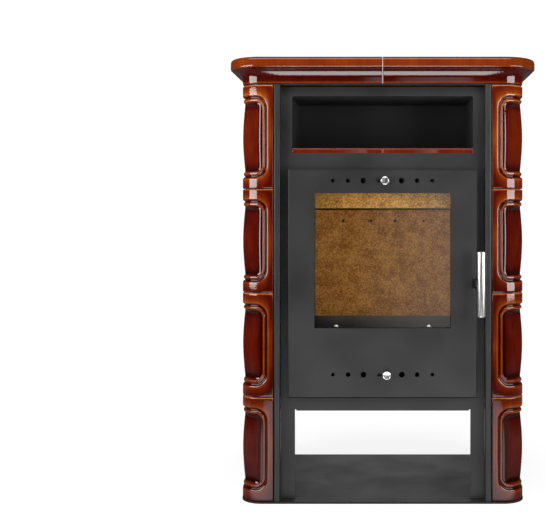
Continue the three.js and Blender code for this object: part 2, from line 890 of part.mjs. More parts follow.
// ------------------------------------------------------------------ glazed relief tiles
const tiles = new THREE.Group();
stove.add(tiles);
const tilePitch = (bodyTop - baseThickness) / tileRows;
const tileHeight = tilePitch - tileJoint;
const arcStart = tileFrontWidth - tileJoint - tileCornerRadius;
const arcLength = (Math.PI / 2) * tileCornerRadius;
const tileRear = rearFace - sheet - clearance;
const sideLength = (tileRear - tileFace - tileJoint) / 2;
const cornerTileLength = arcStart + arcLength + sideLength - tileCornerRadius;
const cornerSteps = 4;
const minimumRadius = 6;

// Loops of the moulding, from the back of the tile to the crown of its panel. Across the face, a
// loop runs from left to right along s; it stands half its height above and below the panel's middle.
// A loop's chord is how far it cuts straight across the body's corner, from 0 to 1.
function reliefLoops(length, height) {
  const outlineReach = cartoucheMargin + cartoucheRadius;
  const outline = (depth, inset) => ({
    left: inset,
    right: length - inset,
    half: height / 2 - inset,
    radiusS: outlineReach - inset,
    radiusZ: 0,
    rise: 0,
    depth,
    chord: depth < -tileEdgeRound ? 1 : 0,
  });
  const cartouche = (depth, insetS, insetZ = insetS * frameStretch, chord = 0) => ({
    left: cartoucheMargin + insetS,
    right: length - cartoucheMargin - insetS,
    half: height / 2 - cartoucheHeightMargin - insetZ,
    radiusS: Math.max(cartoucheRadius - insetS, minimumRadius),
    radiusZ: Math.max(cartoucheRadius - insetS, minimumRadius),
    rise: cartoucheRise,
    depth,
    chord,
  });
  const pillow = (share) => {
    const start = { s: frameWidth, z: frameWidth * frameStretch };
    const reach = {
      s: (length - crownWidth) / 2 - cartoucheMargin,
      z: (height - crownHeight) / 2 - cartoucheHeightMargin,
    };
    const swell = (1 - Math.cos(Math.PI * share)) / 2;
    return cartouche(
      -THREE.MathUtils.lerp(panelDrop, crownDrop, swell),
      THREE.MathUtils.lerp(start.s, reach.s, share),
      THREE.MathUtils.lerp(start.z, reach.z, share),
      share > 0 ? 1 : 0.5,
    );
  };
  return [
    outline(-tileThickness, 0),
    outline(-tileEdgeRound, 0),
    outline(0, tileEdgeRound),
    cartouche(0, 0),
    cartouche(-grooveDepth, grooveInset),
    cartouche(-beadDrop, beadInset),
    pillow(0),
    pillow(0.09),
    pillow(0.5),
    pillow(1),
  ];
}

// Points of one loop, laid on the tile's face by surface(s, depth, chord), which gives x and y.
function loopPoints(loop, middleColumns, surface) {
  const columns = [];
  for (let k = 0; k <= cornerSteps; k += 1) {
    const angle = (k / cornerSteps) * (Math.PI / 2);
    columns.push({
      s: loop.left + loop.radiusS * (1 - Math.cos(angle)),
      half: loop.half - loop.radiusZ * (1 - Math.sin(angle)),
    });
  }
  const innerLeft = loop.left + loop.radiusS;
  const innerRight = loop.right - loop.radiusS;
  const middle = middleColumns.map((t) => ({
    s: THREE.MathUtils.lerp(innerLeft, innerRight, t),
    half: loop.half,
  }));
  const mirrored = columns.map(({ s, half }) => ({ s: loop.left + loop.right - s, half })).reverse();
  const upper = [...columns, ...middle, ...mirrored];
  const at = ({ s, half }, side) => {
    const [x, y] = surface(s, loop.depth, loop.chord);
    return new THREE.Vector3(x, y, tileHeight / 2 + loop.rise + side * half);
  };
  return [...upper.map((p) => at(p, -1)), ...upper.reverse().map((p) => at(p, 1))];
}

// How deep a straight cut across the corner lies inside the corner's arc.
function chordDepth(angle) {
  const quarter = Math.PI / 4;
  const cut = 1 - Math.cos(quarter - chordStart) / Math.cos(quarter - angle);
  return tileCornerRadius * Math.max(cut, 0);
}

// s runs across the front, round the corner and back along the side
function cornerSurface(s, depth, chord) {
  const centreX = bodyHalf - tileCornerRadius;
  const centreY = tileFace + tileCornerRadius;
  const angle = THREE.MathUtils.clamp((s - arcStart) / tileCornerRadius, 0, Math.PI / 2);
  const reach = tileCornerRadius + depth - chord * chordDepth(angle);
  const before = Math.min(s - arcStart, 0);
  const after = Math.max(s - arcStart - arcLength, 0);
  return [centreX + before + reach * Math.sin(angle), centreY + after - reach * Math.cos(angle)];
}

function sideSurface(s, depth) {
  return [bodyHalf + depth, tileRear - sideLength + s];
}

function reliefTile(length, middleColumns, surface) {
  const loops = reliefLoops(length, tileHeight).map((l) => loopPoints(l, middleColumns, surface));
  const cap = ladderCap(loops[0].length);
  return loft(loops, cap, cap);
}
const arcColumns = 4;
const arcReach = cartoucheMargin + cartoucheRadius;
const cornerColumns = Array.from({ length: arcColumns }, (_, i) => {
  const s = THREE.MathUtils.lerp(arcReach, arcStart + arcLength, (i + 1) / arcColumns);
  return (s - arcReach) / (cornerTileLength - 2 * arcReach);
});
const cornerTile = reliefTile(cornerTileLength, cornerColumns, cornerSurface);
const sideTile = reliefTile(sideLength, [], sideSurface);
const cornerTileLeft = mirrorX(cornerTile);
const sideTileLeft = mirrorX(sideTile);
for (let row = 0; row < tileRows; row += 1) {
  const z = baseThickness + tileJoint / 2 + row * tilePitch;
  place(tiles, `corner_tile_right_${row + 1}`, cornerTile, glaze, [0, 0, z]);
  place(tiles, `corner_tile_left_${row + 1}`, cornerTileLeft, glaze, [0, 0, z]);
  place(tiles, `side_tile_right_${row + 1}`, sideTile, glaze, [0, 0, z]);
  place(tiles, `side_tile_left_${row + 1}`, sideTileLeft, glaze, [0, 0, z]);
}

// ------------------------------------------------------------------ glazed cornice
// Profile as height and reach beyond the tile face: foot, cove, quirk and rounded nosing.
function corniceProfile() {
  const coveReach = corniceOverhang - nosingLowerRadius - quirk;
  const coveHeight = corniceHeight - nosingThickness - coveFoot;
  const profile = [[0, -coveTuck], [corniceFootRise, -coveTuck / 3], [coveFoot, 0]];
  const coveSteps = 6;
  for (let i = 1; i <= coveSteps; i += 1) {
    const angle = (i / coveSteps) * (Math.PI / 2);
    profile.push([coveFoot + coveHeight * Math.sin(angle), coveReach * (1 - Math.cos(angle))]);
  }
  const arcSteps = 4;
  const nosingArc = (centre, radius, from) => {
    for (let i = 0; i <= arcSteps; i += 1) {
      const angle = from + (i / arcSteps) * (Math.PI / 2);
      const reach = corniceOverhang - radius + radius * Math.cos(angle);
      profile.push([centre + radius * Math.sin(angle), reach]);
    }
  };
  nosingArc(corniceHeight - nosingThickness + nosingLowerRadius, nosingLowerRadius, -Math.PI / 2);
  nosingArc(corniceHeight - nosingTopRadius, nosingTopRadius, 0);
  return profile;
}

function corniceLoop([height, reach]) {
  const centreX = bodyHalf - tileCornerRadius;
  const centreY = tileFace + tileCornerRadius;
  const radius = tileCornerRadius + reach;
  const points = [[corniceSeam / 2, tileFace - reach]];
  for (let i = 0; i <= planSteps; i += 1) {
    const angle = (i / planSteps) * (Math.PI / 2);
    points.push([centreX + radius * Math.sin(angle), centreY - radius * Math.cos(angle)]);
  }
  points.push([bodyHalf + reach, rearFace], [corniceSeam / 2, rearFace]);
  return points.map(([x, y]) => new THREE.Vector3(x, y, corniceBottom + height));
}
const corniceLoops = corniceProfile().map(corniceLoop);
const corniceCap = fanCap(corniceLoops[0].length);
const corniceHalf = cut(
  loft(corniceLoops, corniceCap, corniceCap),
  box(
    [corniceSeam / 2 + corniceWeb, bodyHalf - corniceRim],
    [tileFace + corniceRim, rearFace - corniceRim],
    [corniceBottom - overrun, corniceBottom + corniceHeight - corniceSlab],
  ),
);
const cornice = new THREE.Group();
stove.add(cornice);
place(cornice, 'cornice_right', corniceHalf, glaze);
place(cornice, 'cornice_left', mirrorX(corniceHalf), glaze);

// ------------------------------------------------------------------ door
const door = new THREE.Group();
stove.add(door);
const holeOffsets = holeDiameters.flatMap((diameter, i) => {
  const x = holeStart + i * holePitch;
  return [{ x: -x, diameter }, { x, diameter }];
});

function doorLoop(y, inset) {
  const x = doorHalf - inset;
  const z0 = doorBottom + inset;
  const z1 = doorTop - inset;
  return [[-x, z0], [x, z0], [x, z1], [-x, z1]].map(([px, pz]) => new THREE.Vector3(px, y, pz));
}
function airRowTools(z) {
  const reach = [doorFront - overrun, doorRear + overrun];
  const holes = holeOffsets.map(({ x, diameter }) => levelCylinder(x, z, diameter / 2, reach));
  const half = slotLength / 2;
  const slot = rectangle([-half, half], [z - slotHeight / 2, z + slotHeight / 2], slotHeight / 2 - 0.05);
  return [...holes, extrudeBack(slot, reach)];
}
const panelBlank = loft(
  [doorLoop(doorRear, 0), doorLoop(doorFront + doorChamfer, 0), doorLoop(doorFront, doorChamfer)],
  fanCap(4),
  fanCap(4),
);
place(
  door,
  'door_panel',
  cut(
    panelBlank,
    box(
      [-windowHalf, windowHalf],
      [doorFront - overrun, doorRear + overrun],
      [windowBottom, windowTop],
    ),
    box(
      [doorHalf - latchNotch, doorHalf + overrun],
      [doorFront - overrun, doorRear + overrun],
      [latch.z - latchThickness / 2 - latchNotchPlay, latch.z + latchThickness / 2 + latchNotchPlay],
    ),
    ...airRowTools(upperRow),
    ...airRowTools(lowerRow),
  ),
  paintedSteel,
);

// Inner frame: a ring with a rope groove behind, the slider guides, hinge sleeves and latch ears.
function ringPlate([halfOut, bottomOut, topOut], width, [y0, y1]) {
  const plan = rectangle([-halfOut, halfOut], [bottomOut, topOut]);
  plan.holes.push(rectangle([-halfOut + width, halfOut - width], [bottomOut + width, topOut - width]));
  return extrudeBack(plan, [y0, y1]);
}
const grooveWall = (innerFrameWidth - ropeDiameter) / 2 - clearance;
const ropeDepth = 5;
const guideInner = sliderHalf - slotTravel - 4;
const guideBack = frameFront + sliderThickness + clearance;
const guideLip = 3;
function sliderGuide(z, side) {
  const xs = [guideInner, frameInnerHalf + 1].map((x) => side * x).sort((a, b) => a - b);
  const half = sliderHeight / 2 + clearance;
  return fuse(
    box(xs, [guideBack, guideBack + sheet], [z - half - guideLip, z + half + guideLip]),
    box(xs, [frameFront, guideBack + 0.5], [z - half - guideLip, z - half]),
    box(xs, [frameFront, guideBack + 0.5], [z + half, z + half + guideLip]),
  );
}
const sleeveRadius = hingeSleeveDiameter / 2;
const pinRadius = hingePinDiameter / 2;
const hingeHeights = [doorBottom + hingeMargin, doorTop - hingeMargin];
function hingeSleeve(z) {
  const heights = [z, z + hingeSleeveLength];
  return fuse(
    uprightCylinder(hinge.x, hinge.y, sleeveRadius, heights, 16),
    box([hinge.x, -frameHalf + 1], [hinge.y - 2.5, hinge.y + 2.5], heights),
  );
}
const earGap = latchThickness / 2 + 0.6;
const earThickness = 5;
const earRadius = 5.4;
function latchEar(side) {
  const heights = [latch.z + side * earGap, latch.z + side * (earGap + earThickness)];
  heights.sort((a, b) => a - b);
  return fuse(
    uprightCylinder(latch.x, latch.y, earRadius, heights, 16),
    box([frameHalf - 1, latch.x], [latch.y - earRadius, latch.y + earRadius - 0.5], heights),
  );
}
const latchPinRadius = 2.5;
const innerFrame = cut(
  fuse(
    ringPlate([frameHalf, frameBottom, frameTop], innerFrameWidth, [frameFront, frameRear]),
    sliderGuide(upperRow, -1),
    sliderGuide(upperRow, 1),
    sliderGuide(lowerRow, -1),
    sliderGuide(lowerRow, 1),
    ...hingeHeights.map(hingeSleeve),
    latchEar(1),
    latchEar(-1),
    uprightCylinder(latch.x, latch.y, latchPinRadius, [latch.z - earGap - 1, latch.z + earGap + 1], 12),
  ),
  ringPlate(
    [frameHalf - grooveWall, frameBottom + grooveWall, frameTop - grooveWall],
    innerFrameWidth - 2 * grooveWall,
    [frameRear - ropeDepth - clearance, frameRear + 1],
  ),
  ...hingeHeights.map((z) => uprightCylinder(
    hinge.x,
    hinge.y,
    pinRadius + clearance,
    [z - 1, z + hingeSleeveLength + 1],
    16,
  )),
);
place(door, 'door_frame', innerFrame, darkSteel);

const ropeInset = grooveWall + clearance;
place(
  door,
  'door_seal',
  ringPlate(
    [frameHalf - ropeInset, frameBottom + ropeInset, frameTop - ropeInset],
    innerFrameWidth - 2 * ropeInset,
    [frameRear - ropeDepth, plateFront - clearance],
  ),
  ropeGrey,
);

// glass with its tape seal in front and the frame that clamps it from behind
const glassHalf = windowHalf + glassOverlap;
const glassFrontY = doorRear + clearance + tapeThickness + clearance;
const glassRearY = glassFrontY + glassThickness;
place(
  door,
  'glass_seal',
  ringPlate(
    [glassHalf, windowBottom - glassOverlap, windowTop + glassOverlap],
    glassOverlap - 1,
    [doorRear + clearance, doorRear + clearance + tapeThickness],
  ),
  ropeGrey,
);
place(
  door,
  'door_glass',
  box(
    [-glassHalf, glassHalf],
    [glassFrontY, glassRearY],
    [windowBottom - glassOverlap, windowTop + glassOverlap],
  ),
  clearGlass,
);
const clampRear = glassRearY + clearance + sheet;
const clamp = {
  half: glassHalf + glassFrameLip,
  bottom: windowBottom - glassOverlap - 3,
  top: windowTop + glassOverlap + 3,
};
const clampPlan = rectangle([-clamp.half, clamp.half], [clamp.bottom, clamp.top]);
clampPlan.holes.push(rectangle([-windowHalf, windowHalf], [windowBottom, windowTop]));
place(
  door,
  'glass_frame',
  fuse(
    ringPlate([clamp.half, clamp.bottom, clamp.top], sheet, [doorRear + clearance, clampRear]),
    extrudeBack(clampPlan, [glassRearY + clearance, clampRear]),
  ),
  darkSteel,
);

// air sliders and knobs
const upperAir = new THREE.Group();
const lowerAir = new THREE.Group();
upperAir.position.set(upperKnobOffset, 0, upperRow);
lowerAir.position.set(lowerKnobOffset, 0, lowerRow);
door.add(upperAir, lowerAir);
const sliderPlan = rectangle([-sliderHalf, sliderHalf], [-sliderHeight / 2, sliderHeight / 2]);
holeOffsets.forEach(({ x, diameter }) => {
  const hole = new THREE.Path();
  hole.absarc(x - slotTravel, 0, (diameter + sliderHoleExtra) / 2, 0, 2 * Math.PI);
  sliderPlan.holes.push(hole);
});
const stemHole = new THREE.Path();
stemHole.absarc(0, 0, stemDiameter / 2 + clearance, 0, 2 * Math.PI);
sliderPlan.holes.push(stemHole);
const slider = extrudeBack(sliderPlan, [frameFront, frameFront + sliderThickness], 5);
place(upperAir, 'air_slider_upper', slider, darkSteel);
place(lowerAir, 'air_slider_lower', slider, darkSteel);

// knob turned from bar: dished face, raised rim, waist and stem
const knobRadius = knobDiameter / 2;
const knobBack = doorFront - 0.6;
const knobFront = knobBack - knobLength;
const knobProfile = [
  [0, knobFront + 0.8],
  [knobRadius - 2.2, knobFront + 0.8],
  [knobRadius - 1.8, knobFront],
  [knobRadius - 0.8, knobFront],
  [knobRadius, knobFront + 1],
  [knobRadius, knobBack - 4],
  [knobRadius - 2.5, knobBack - 2.5],
  [knobRadius - 2.5, knobBack],
  [stemDiameter / 2, knobBack],
  [stemDiameter / 2, frameFront + sliderThickness],
  [0, frameFront + sliderThickness],
].map(([r, y]) => new THREE.Vector2(r, y));
const knob = new THREE.LatheGeometry(knobProfile, 16);
place(upperAir, 'air_knob_upper', knob, stainless);
place(lowerAir, 'air_knob_lower', knob, stainless);

// ------------------------------------------------------------------ latch and hinges
// Claw of the latch: a boss on the pivot, a web, an arc that hooks round the keeper and a grip arm.
const latchGroup = new THREE.Group();
latchGroup.position.set(latch.x, latch.y, latch.z);
door.add(latchGroup);
const clawTip = THREE.MathUtils.degToRad(19);
const clawRoot = THREE.MathUtils.degToRad(-48);
const gripY = stripFace - gripStandOff - latch.y;
const armHalf = 4;
const claw = new THREE.Shape();
claw.absarc(0, 0, clawOuterRadius, clawRoot, clawTip);
claw.absarc(0, 0, clawInnerRadius, clawTip, clawRoot, true);
const webAngle = THREE.MathUtils.degToRad(-38);
const webTip = clawInnerRadius + 1;
const webShape = polygon([
  [-4 * Math.sin(webAngle + 0.3), -4 * Math.cos(webAngle)],
  [webTip * Math.cos(clawRoot), webTip * Math.sin(clawRoot)],
  [webTip * Math.cos(webAngle + 0.2), webTip * Math.sin(webAngle + 0.2)],
  [3.5, 2],
]);
const latchHeights = [-latchThickness / 2, latchThickness / 2];
const latchLever = cut(
  fuse(
    uprightCylinder(0, 0, 5.2, latchHeights, 16),
    extrudeUp(webShape, latchHeights),
    extrudeUp(claw, latchHeights, 7),
    box(
      [gripReachX - armHalf, gripReachX + armHalf],
      [gripY + gripDiameter / 2 + clearance, -clawInnerRadius * Math.sin(-clawRoot)],
      latchHeights,
    ),
  ),
  uprightCylinder(0, 0, latchPinRadius + clearance, [-latchThickness, latchThickness], 12),
);
place(latchGroup, 'latch_lever', latchLever, darkSteel);

// grip: a turned bar with a groove near its top
const gripRadius = gripDiameter / 2;
const grooveZ = gripLength / 2 - gripGrooveDrop;
const gripProfile = [
  [0, -gripLength / 2],
  [gripRadius - 1.5, -gripLength / 2],
  [gripRadius, -gripLength / 2 + 1.5],
  [gripRadius, grooveZ - 1.5],
  [gripRadius - 1, grooveZ - 0.6],
  [gripRadius - 1, grooveZ + 0.6],
  [gripRadius, grooveZ + 1.5],
  [gripRadius, gripLength / 2 - 1.5],
  [gripRadius - 1.5, gripLength / 2],
  [0, gripLength / 2],
].map(([r, z]) => new THREE.Vector2(r, z));
place(
  latchGroup,
  'handle_grip',
  new THREE.LatheGeometry(gripProfile, 18).rotateX(Math.PI / 2),
  stainless,
  [gripReachX, gripY, 0],
);

// Keeper on the front plate: two ears with a pin that the claw closes round.
const keeper = { x: latch.x + keeperReachX, y: latch.y + keeperReachY };
const keeperRadius = keeperPinDiameter / 2;
const keeperEar = 4;
function keeperEarBox(side) {
  const heights = [latch.z + side * earGap, latch.z + side * (earGap + keeperEar)].sort((a, b) => a - b);
  return box(
    [keeper.x - keeperRadius - 2, keeper.x + keeperRadius + 3],
    [keeper.y - keeperRadius - 1, plateFront - clearance],
    heights,
  );
}
place(
  body,
  'latch_keeper',
  fuse(
    keeperEarBox(1),
    keeperEarBox(-1),
    uprightCylinder(keeper.x, keeper.y, keeperRadius, [latch.z - earGap - 1, latch.z + earGap + 1], 16),
  ),
  darkSteel,
);

// Hinge brackets: a lug on the front plate with an upright pin that the door's sleeve drops over.
const lugThickness = 10;
const lugLeft = hinge.x - 3.6;
const lugRight = hinge.x + 6;
function hingeBracket(z) {
  const top = z - clearance;
  return fuse(
    box([lugLeft, lugRight], [hinge.y - 1, plateFront - clearance], [top - lugThickness, top]),
    uprightCylinder(hinge.x, hinge.y, pinRadius, [top - lugThickness + 1, top + hingeSleeveLength + 3], 16),
  );
}
place(body, 'hinge_bracket_lower', hingeBracket(hingeHeights[0]), darkSteel);
place(body, 'hinge_bracket_upper', hingeBracket(hingeHeights[1]), darkSteel);

export default stove;
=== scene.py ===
import json
import math

import bpy
import numpy as np
from mathutils import Matrix, Vector


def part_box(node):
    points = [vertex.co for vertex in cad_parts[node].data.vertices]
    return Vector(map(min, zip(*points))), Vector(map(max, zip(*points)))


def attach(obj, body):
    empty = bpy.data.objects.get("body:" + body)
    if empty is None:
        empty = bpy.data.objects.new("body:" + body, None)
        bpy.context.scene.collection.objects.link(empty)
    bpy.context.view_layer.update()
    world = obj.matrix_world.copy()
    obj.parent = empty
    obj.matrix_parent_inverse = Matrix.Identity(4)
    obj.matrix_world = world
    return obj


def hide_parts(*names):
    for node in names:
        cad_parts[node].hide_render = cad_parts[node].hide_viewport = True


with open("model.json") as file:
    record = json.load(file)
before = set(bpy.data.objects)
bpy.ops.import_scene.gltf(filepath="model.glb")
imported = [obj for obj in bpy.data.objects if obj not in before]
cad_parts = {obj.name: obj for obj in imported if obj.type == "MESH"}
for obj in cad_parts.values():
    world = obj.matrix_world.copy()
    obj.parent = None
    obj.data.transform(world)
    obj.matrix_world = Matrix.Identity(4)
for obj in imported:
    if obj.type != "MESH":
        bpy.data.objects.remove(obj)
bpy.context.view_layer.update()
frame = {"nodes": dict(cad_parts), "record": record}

# ------------------------------------------------------------------ sizes, in metres
MM = 0.001

# The frame's own places.
corner_low, corner_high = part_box("corner_tile_right_1")
side_low, side_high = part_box("side_tile_right_1")
cornice_low, cornice_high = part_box("cornice_right")
BODY_HALF = corner_high.x
TILE_FRONT = corner_low.y
TILE_HEIGHT = corner_high.z - corner_low.z
SIDE_LENGTH = side_high.y - side_low.y
REAR = cornice_high.y

# Relief of the tiles: the solid's sizes, with the groove, bead and frame set 0.4 to 0.6 mm wider.
TILE_THICKNESS = 14 * MM
CORNER_RADIUS = 50 * MM
EDGE_ROUND = 2.5 * MM
PANEL_MARGIN = 11 * MM
PANEL_HEIGHT_MARGIN = 21.4 * MM
PANEL_RADIUS = 30 * MM
LEAST_RADIUS = 6 * MM
GROOVE_INSET = 4.4 * MM
GROOVE_DEPTH = 5 * MM
BEAD_INSET = 10.8 * MM
BEAD_FLAT = 3.4 * MM
BEAD_DROP = 2.1 * MM
RELIEF_WIDTH = 15.4 * MM
RELIEF_STRETCH = 1.35
PILLOW_DROP = 5.1 * MM
CROWN_DROP = 0.4 * MM
CROWN_WIDTH = 120 * MM
CROWN_HEIGHT = 20 * MM
CHORD_START = math.radians(5.5)
CHORD_SOFTNESS = 0.15 * MM
LIP_RADIUS = 3.6 * MM
VALLEY_RADIUS = 1.1 * MM
CREST_RADIUS = 1.9 * MM
PANEL_EDGE_RADIUS = 0.7 * MM
OUTER_SLOPE = 68
RISING_SLOPE = 50
INNER_SLOPE = 58

# Cornice profile, as in the solid.
NOSING_THICKNESS = 24.5 * MM
NOSING_TOP_RADIUS = 8 * MM
NOSING_LOWER_RADIUS = 3.5 * MM
QUIRK = 2 * MM
COVE_FOOT = 5 * MM
COVE_TUCK = 2.5 * MM
SEAM_ROUND = 1.6 * MM

# Studio.
FLOOR_HALF = 4.0
BACKDROP_HALF = 2.4
BACKDROP_PLACE = 2.3
BACKDROP_TOP = 3.2
BACKDROP_WHITE = 1.05
CARD_LEFT = -0.16
CARD_RIGHT = 0.44
CARD_BOTTOM = 0.02
CARD_TOP = 1.1
CARD_PLACE = -2.75

# Strengths that glossy rays alone see: painted reflections of a bright floor and room.
PATCH_STEEP = 7.5
PATCH_GRAZING = 1.7
STRIP_STEEP = 0.2
GROUND_BEHIND = 1.4
BACKDROP_MIRRORED = 1.3
SIDE_SHARE = 0.08


# ------------------------------------------------------------------ node helpers
def new_material(name):
    material = bpy.data.materials.new(name)
    material.use_nodes = True
    nodes = material.node_tree.nodes
    nodes.clear()
    output = nodes.new("ShaderNodeOutputMaterial")
    return material, nodes, material.node_tree.links, output


def coordinates(nodes, links, scale):
    """Object coordinates, stretched by scale along X, Y and Z."""
    place = nodes.new("ShaderNodeTexCoord")
    stretch = nodes.new("ShaderNodeMapping")
    stretch.inputs["Scale"].default_value = scale
    links.new(place.outputs["Object"], stretch.inputs["Vector"])
    return stretch.outputs["Vector"]


def noise(nodes, links, vector, scale, detail=3.0, roughness=0.5):
    texture = nodes.new("ShaderNodeTexNoise")
    texture.inputs["Scale"].default_value = scale
    texture.inputs["Detail"].default_value = detail
    texture.inputs["Roughness"].default_value = roughness
    links.new(vector, texture.inputs["Vector"])
    return texture.outputs["Fac"]


def ramp(nodes, links, value, stops):
    """Colour ramp from (position, colour) stops."""
    node = nodes.new("ShaderNodeValToRGB")
    elements = node.color_ramp.elements
    while len(elements) < len(stops):
        elements.new(0.5)
    for element, (position, colour) in zip(elements, stops):
        element.position = position
        element.color = (*colour, 1)
    links.new(value, node.inputs["Fac"])
    return node.outputs["Color"]


def spread(nodes, links, value, low, high, from_low=0.3, from_high=0.7):
    """Maps a value's middle range on to low..high."""
    node = nodes.new("ShaderNodeMapRange")
    node.inputs["From Min"].default_value = from_low
    node.inputs["From Max"].default_value = from_high
    node.inputs["To Min"].default_value = low
    node.inputs["To Max"].default_value = high
    links.new(value, node.inputs["Value"])
    return node.outputs["Result"]


def combine(nodes, links, operation, first, second):
    node = nodes.new("ShaderNodeMath")
    node.operation = operation
    for socket, value in zip(node.inputs, (first, second)):
        if isinstance(value, (int, float)):
            socket.default_value = value
        else:
            links.new(value, socket)
    return node.outputs["Value"]


def bump(nodes, links, height, distance, strength=1.0, normal=None):
    node = nodes.new("ShaderNodeBump")
    node.inputs["Strength"].default_value = strength
    node.inputs["Distance"].default_value = distance
    links.new(height, node.inputs["Height"])
    if normal is not None:
        links.new(normal, node.inputs["Normal"])
    return node.outputs["Normal"]


def room_place(nodes, links):
    """X, Y and Z of the shaded point in the room."""
    place = nodes.new("ShaderNodeNewGeometry")
    parts = nodes.new("ShaderNodeSeparateXYZ")
    links.new(place.outputs["Position"], parts.inputs["Vector"])
    return parts.outputs["X"], parts.outputs["Y"], parts.outputs["Z"]


def glow(nodes, links, output, strength, colour):
    light = nodes.new("ShaderNodeEmission")
    light.inputs["Color"].default_value = (*colour, 1)
    links.new(strength, light.inputs["Strength"])
    links.new(light.outputs["Emission"], output.inputs["Surface"])


# ------------------------------------------------------------------ materials
def glaze_material():
    """Brown majolica glaze: thin and pale on the edges, dark where it pools."""
    material, nodes, links, output = new_material("glaze")
    shader = nodes.new("ShaderNodeBsdfPrincipled")
    pool = nodes.new("ShaderNodeAttribute")
    pool.attribute_name = "pool"
    vector = coordinates(nodes, links, (1, 1, 1))
    runs = coordinates(nodes, links, (1, 1, 0.16))
    clouds = noise(nodes, links, vector, 22, 4)
    streaks = noise(nodes, links, runs, 150, 3)
    mottle = combine(nodes, links, "ADD", clouds, streaks)
    shift = spread(nodes, links, mottle, -0.06, 0.06, 0.75, 1.25)
    thickness = combine(nodes, links, "ADD", pool.outputs["Fac"], shift)
    colour = ramp(nodes, links, thickness, [
        (0.0, (0.60, 0.27, 0.10)),
        (0.12, (0.34, 0.100, 0.013)),
        (0.30, (0.185, 0.028, 0.0022)),
        (0.48, (0.120, 0.0105, 0.0013)),
        (0.68, (0.066, 0.0030, 0.0009)),
        (1.0, (0.012, 0.0007, 0.0005)),
    ])
    links.new(colour, shader.inputs["Base Color"])
    peel = noise(nodes, links, vector, 240, 2)
    links.new(bump(nodes, links, peel, 0.00010, 0.5), shader.inputs["Coat Normal"])
    shader.inputs["Roughness"].default_value = 0.3
    shader.inputs["Specular IOR Level"].default_value = 0.0
    shader.inputs["Coat Weight"].default_value = 1.0
    shader.inputs["Coat Roughness"].default_value = 0.035
    shader.inputs["Coat IOR"].default_value = 1.52
    links.new(shader.outputs["BSDF"], output.inputs["Surface"])
    return material


def painted_steel(name, tone, roughness):
    """Heat-proof paint with its fine grain."""
    material, nodes, links, output = new_material(name)
    shader = nodes.new("ShaderNodeBsdfPrincipled")
    vector = coordinates(nodes, links, (1, 1, 1))
    grain = noise(nodes, links, vector, 1400, 2, 0.6)
    clouds = noise(nodes, links, vector, 9, 4)
    mix = combine(nodes, links, "ADD", combine(nodes, links, "MULTIPLY", grain, 0.6), clouds)
    low = tuple(0.80 * part for part in tone)
    high = tuple(1.22 * part for part in tone)
    links.new(ramp(nodes, links, mix, [(0.55, low), (1.05, high)]), shader.inputs["Base Color"])
    links.new(spread(nodes, links, clouds, roughness - 0.04, roughness + 0.05), shader.inputs["Roughness"])
    links.new(bump(nodes, links, grain, 0.00012, 0.35), shader.inputs["Normal"])
    shader.inputs["Specular IOR Level"].default_value = 0.36
    links.new(shader.outputs["BSDF"], output.inputs["Surface"])
    return material


def cast_iron_material():
    material, nodes, links, output = new_material("cast_iron")
    shader = nodes.new("ShaderNodeBsdfPrincipled")
    vector = coordinates(nodes, links, (1, 1, 1))
    sand = noise(nodes, links, vector, 500, 5, 0.7)
    links.new(
        ramp(nodes, links, sand, [(0.3, (0.016, 0.015, 0.014)), (0.75, (0.05, 0.047, 0.044))]),
        shader.inputs["Base Color"],
    )
    links.new(bump(nodes, links, sand, 0.0006, 0.7), shader.inputs["Normal"])
    shader.inputs["Roughness"].default_value = 0.72
    shader.inputs["Metallic"].default_value = 0.4
    links.new(shader.outputs["BSDF"], output.inputs["Surface"])
    return material


def stainless_material():
    """Brushed bar: fine rings round the turned pieces."""
    material, nodes, links, output = new_material("stainless")
    shader = nodes.new("ShaderNodeBsdfPrincipled")
    vector = coordinates(nodes, links, (1, 1, 22))
    brushing = noise(nodes, links, vector, 160, 4, 0.6)
    links.new(
        ramp(nodes, links, brushing, [(0.3, (0.56, 0.56, 0.55)), (0.7, (0.76, 0.76, 0.74))]),
        shader.inputs["Base Color"],
    )
    links.new(spread(nodes, links, brushing, 0.20, 0.32), shader.inputs["Roughness"])
    links.new(bump(nodes, links, brushing, 0.00004, 0.4), shader.inputs["Normal"])
    shader.inputs["Metallic"].default_value = 1.0
    links.new(shader.outputs["BSDF"], output.inputs["Surface"])
    return material


def vermiculite_material():
    """Pressed vermiculite: golden flakes in a tan ground."""
    material, nodes, links, output = new_material("vermiculite")
    shader = nodes.new("ShaderNodeBsdfPrincipled")
    vector = coordinates(nodes, links, (1, 1, 1))
    flakes = nodes.new("ShaderNodeTexVoronoi")
    flakes.inputs["Scale"].default_value = 420
    links.new(vector, flakes.inputs["Vector"])
    speck = nodes.new("ShaderNodeSeparateColor")
    links.new(flakes.outputs["Color"], speck.inputs["Color"])
    clouds = noise(nodes, links, vector, 30, 5, 0.65)
    mix = combine(nodes, links, "ADD", combine(nodes, links, "MULTIPLY", speck.outputs["Red"], 0.55), clouds)
    links.new(
        ramp(nodes, links, mix, [
            (0.45, (0.22, 0.096, 0.018)),
            (0.75, (0.42, 0.195, 0.040)),
            (1.0, (0.66, 0.370, 0.100)),
        ]),
        shader.inputs["Base Color"],
    )
    links.new(bump(nodes, links, mix, 0.0008, 0.6), shader.inputs["Normal"])
    shader.inputs["Roughness"].default_value = 0.85
    shader.inputs["Specular IOR Level"].default_value = 0.25
    links.new(shader.outputs["BSDF"], output.inputs["Surface"])
    return material


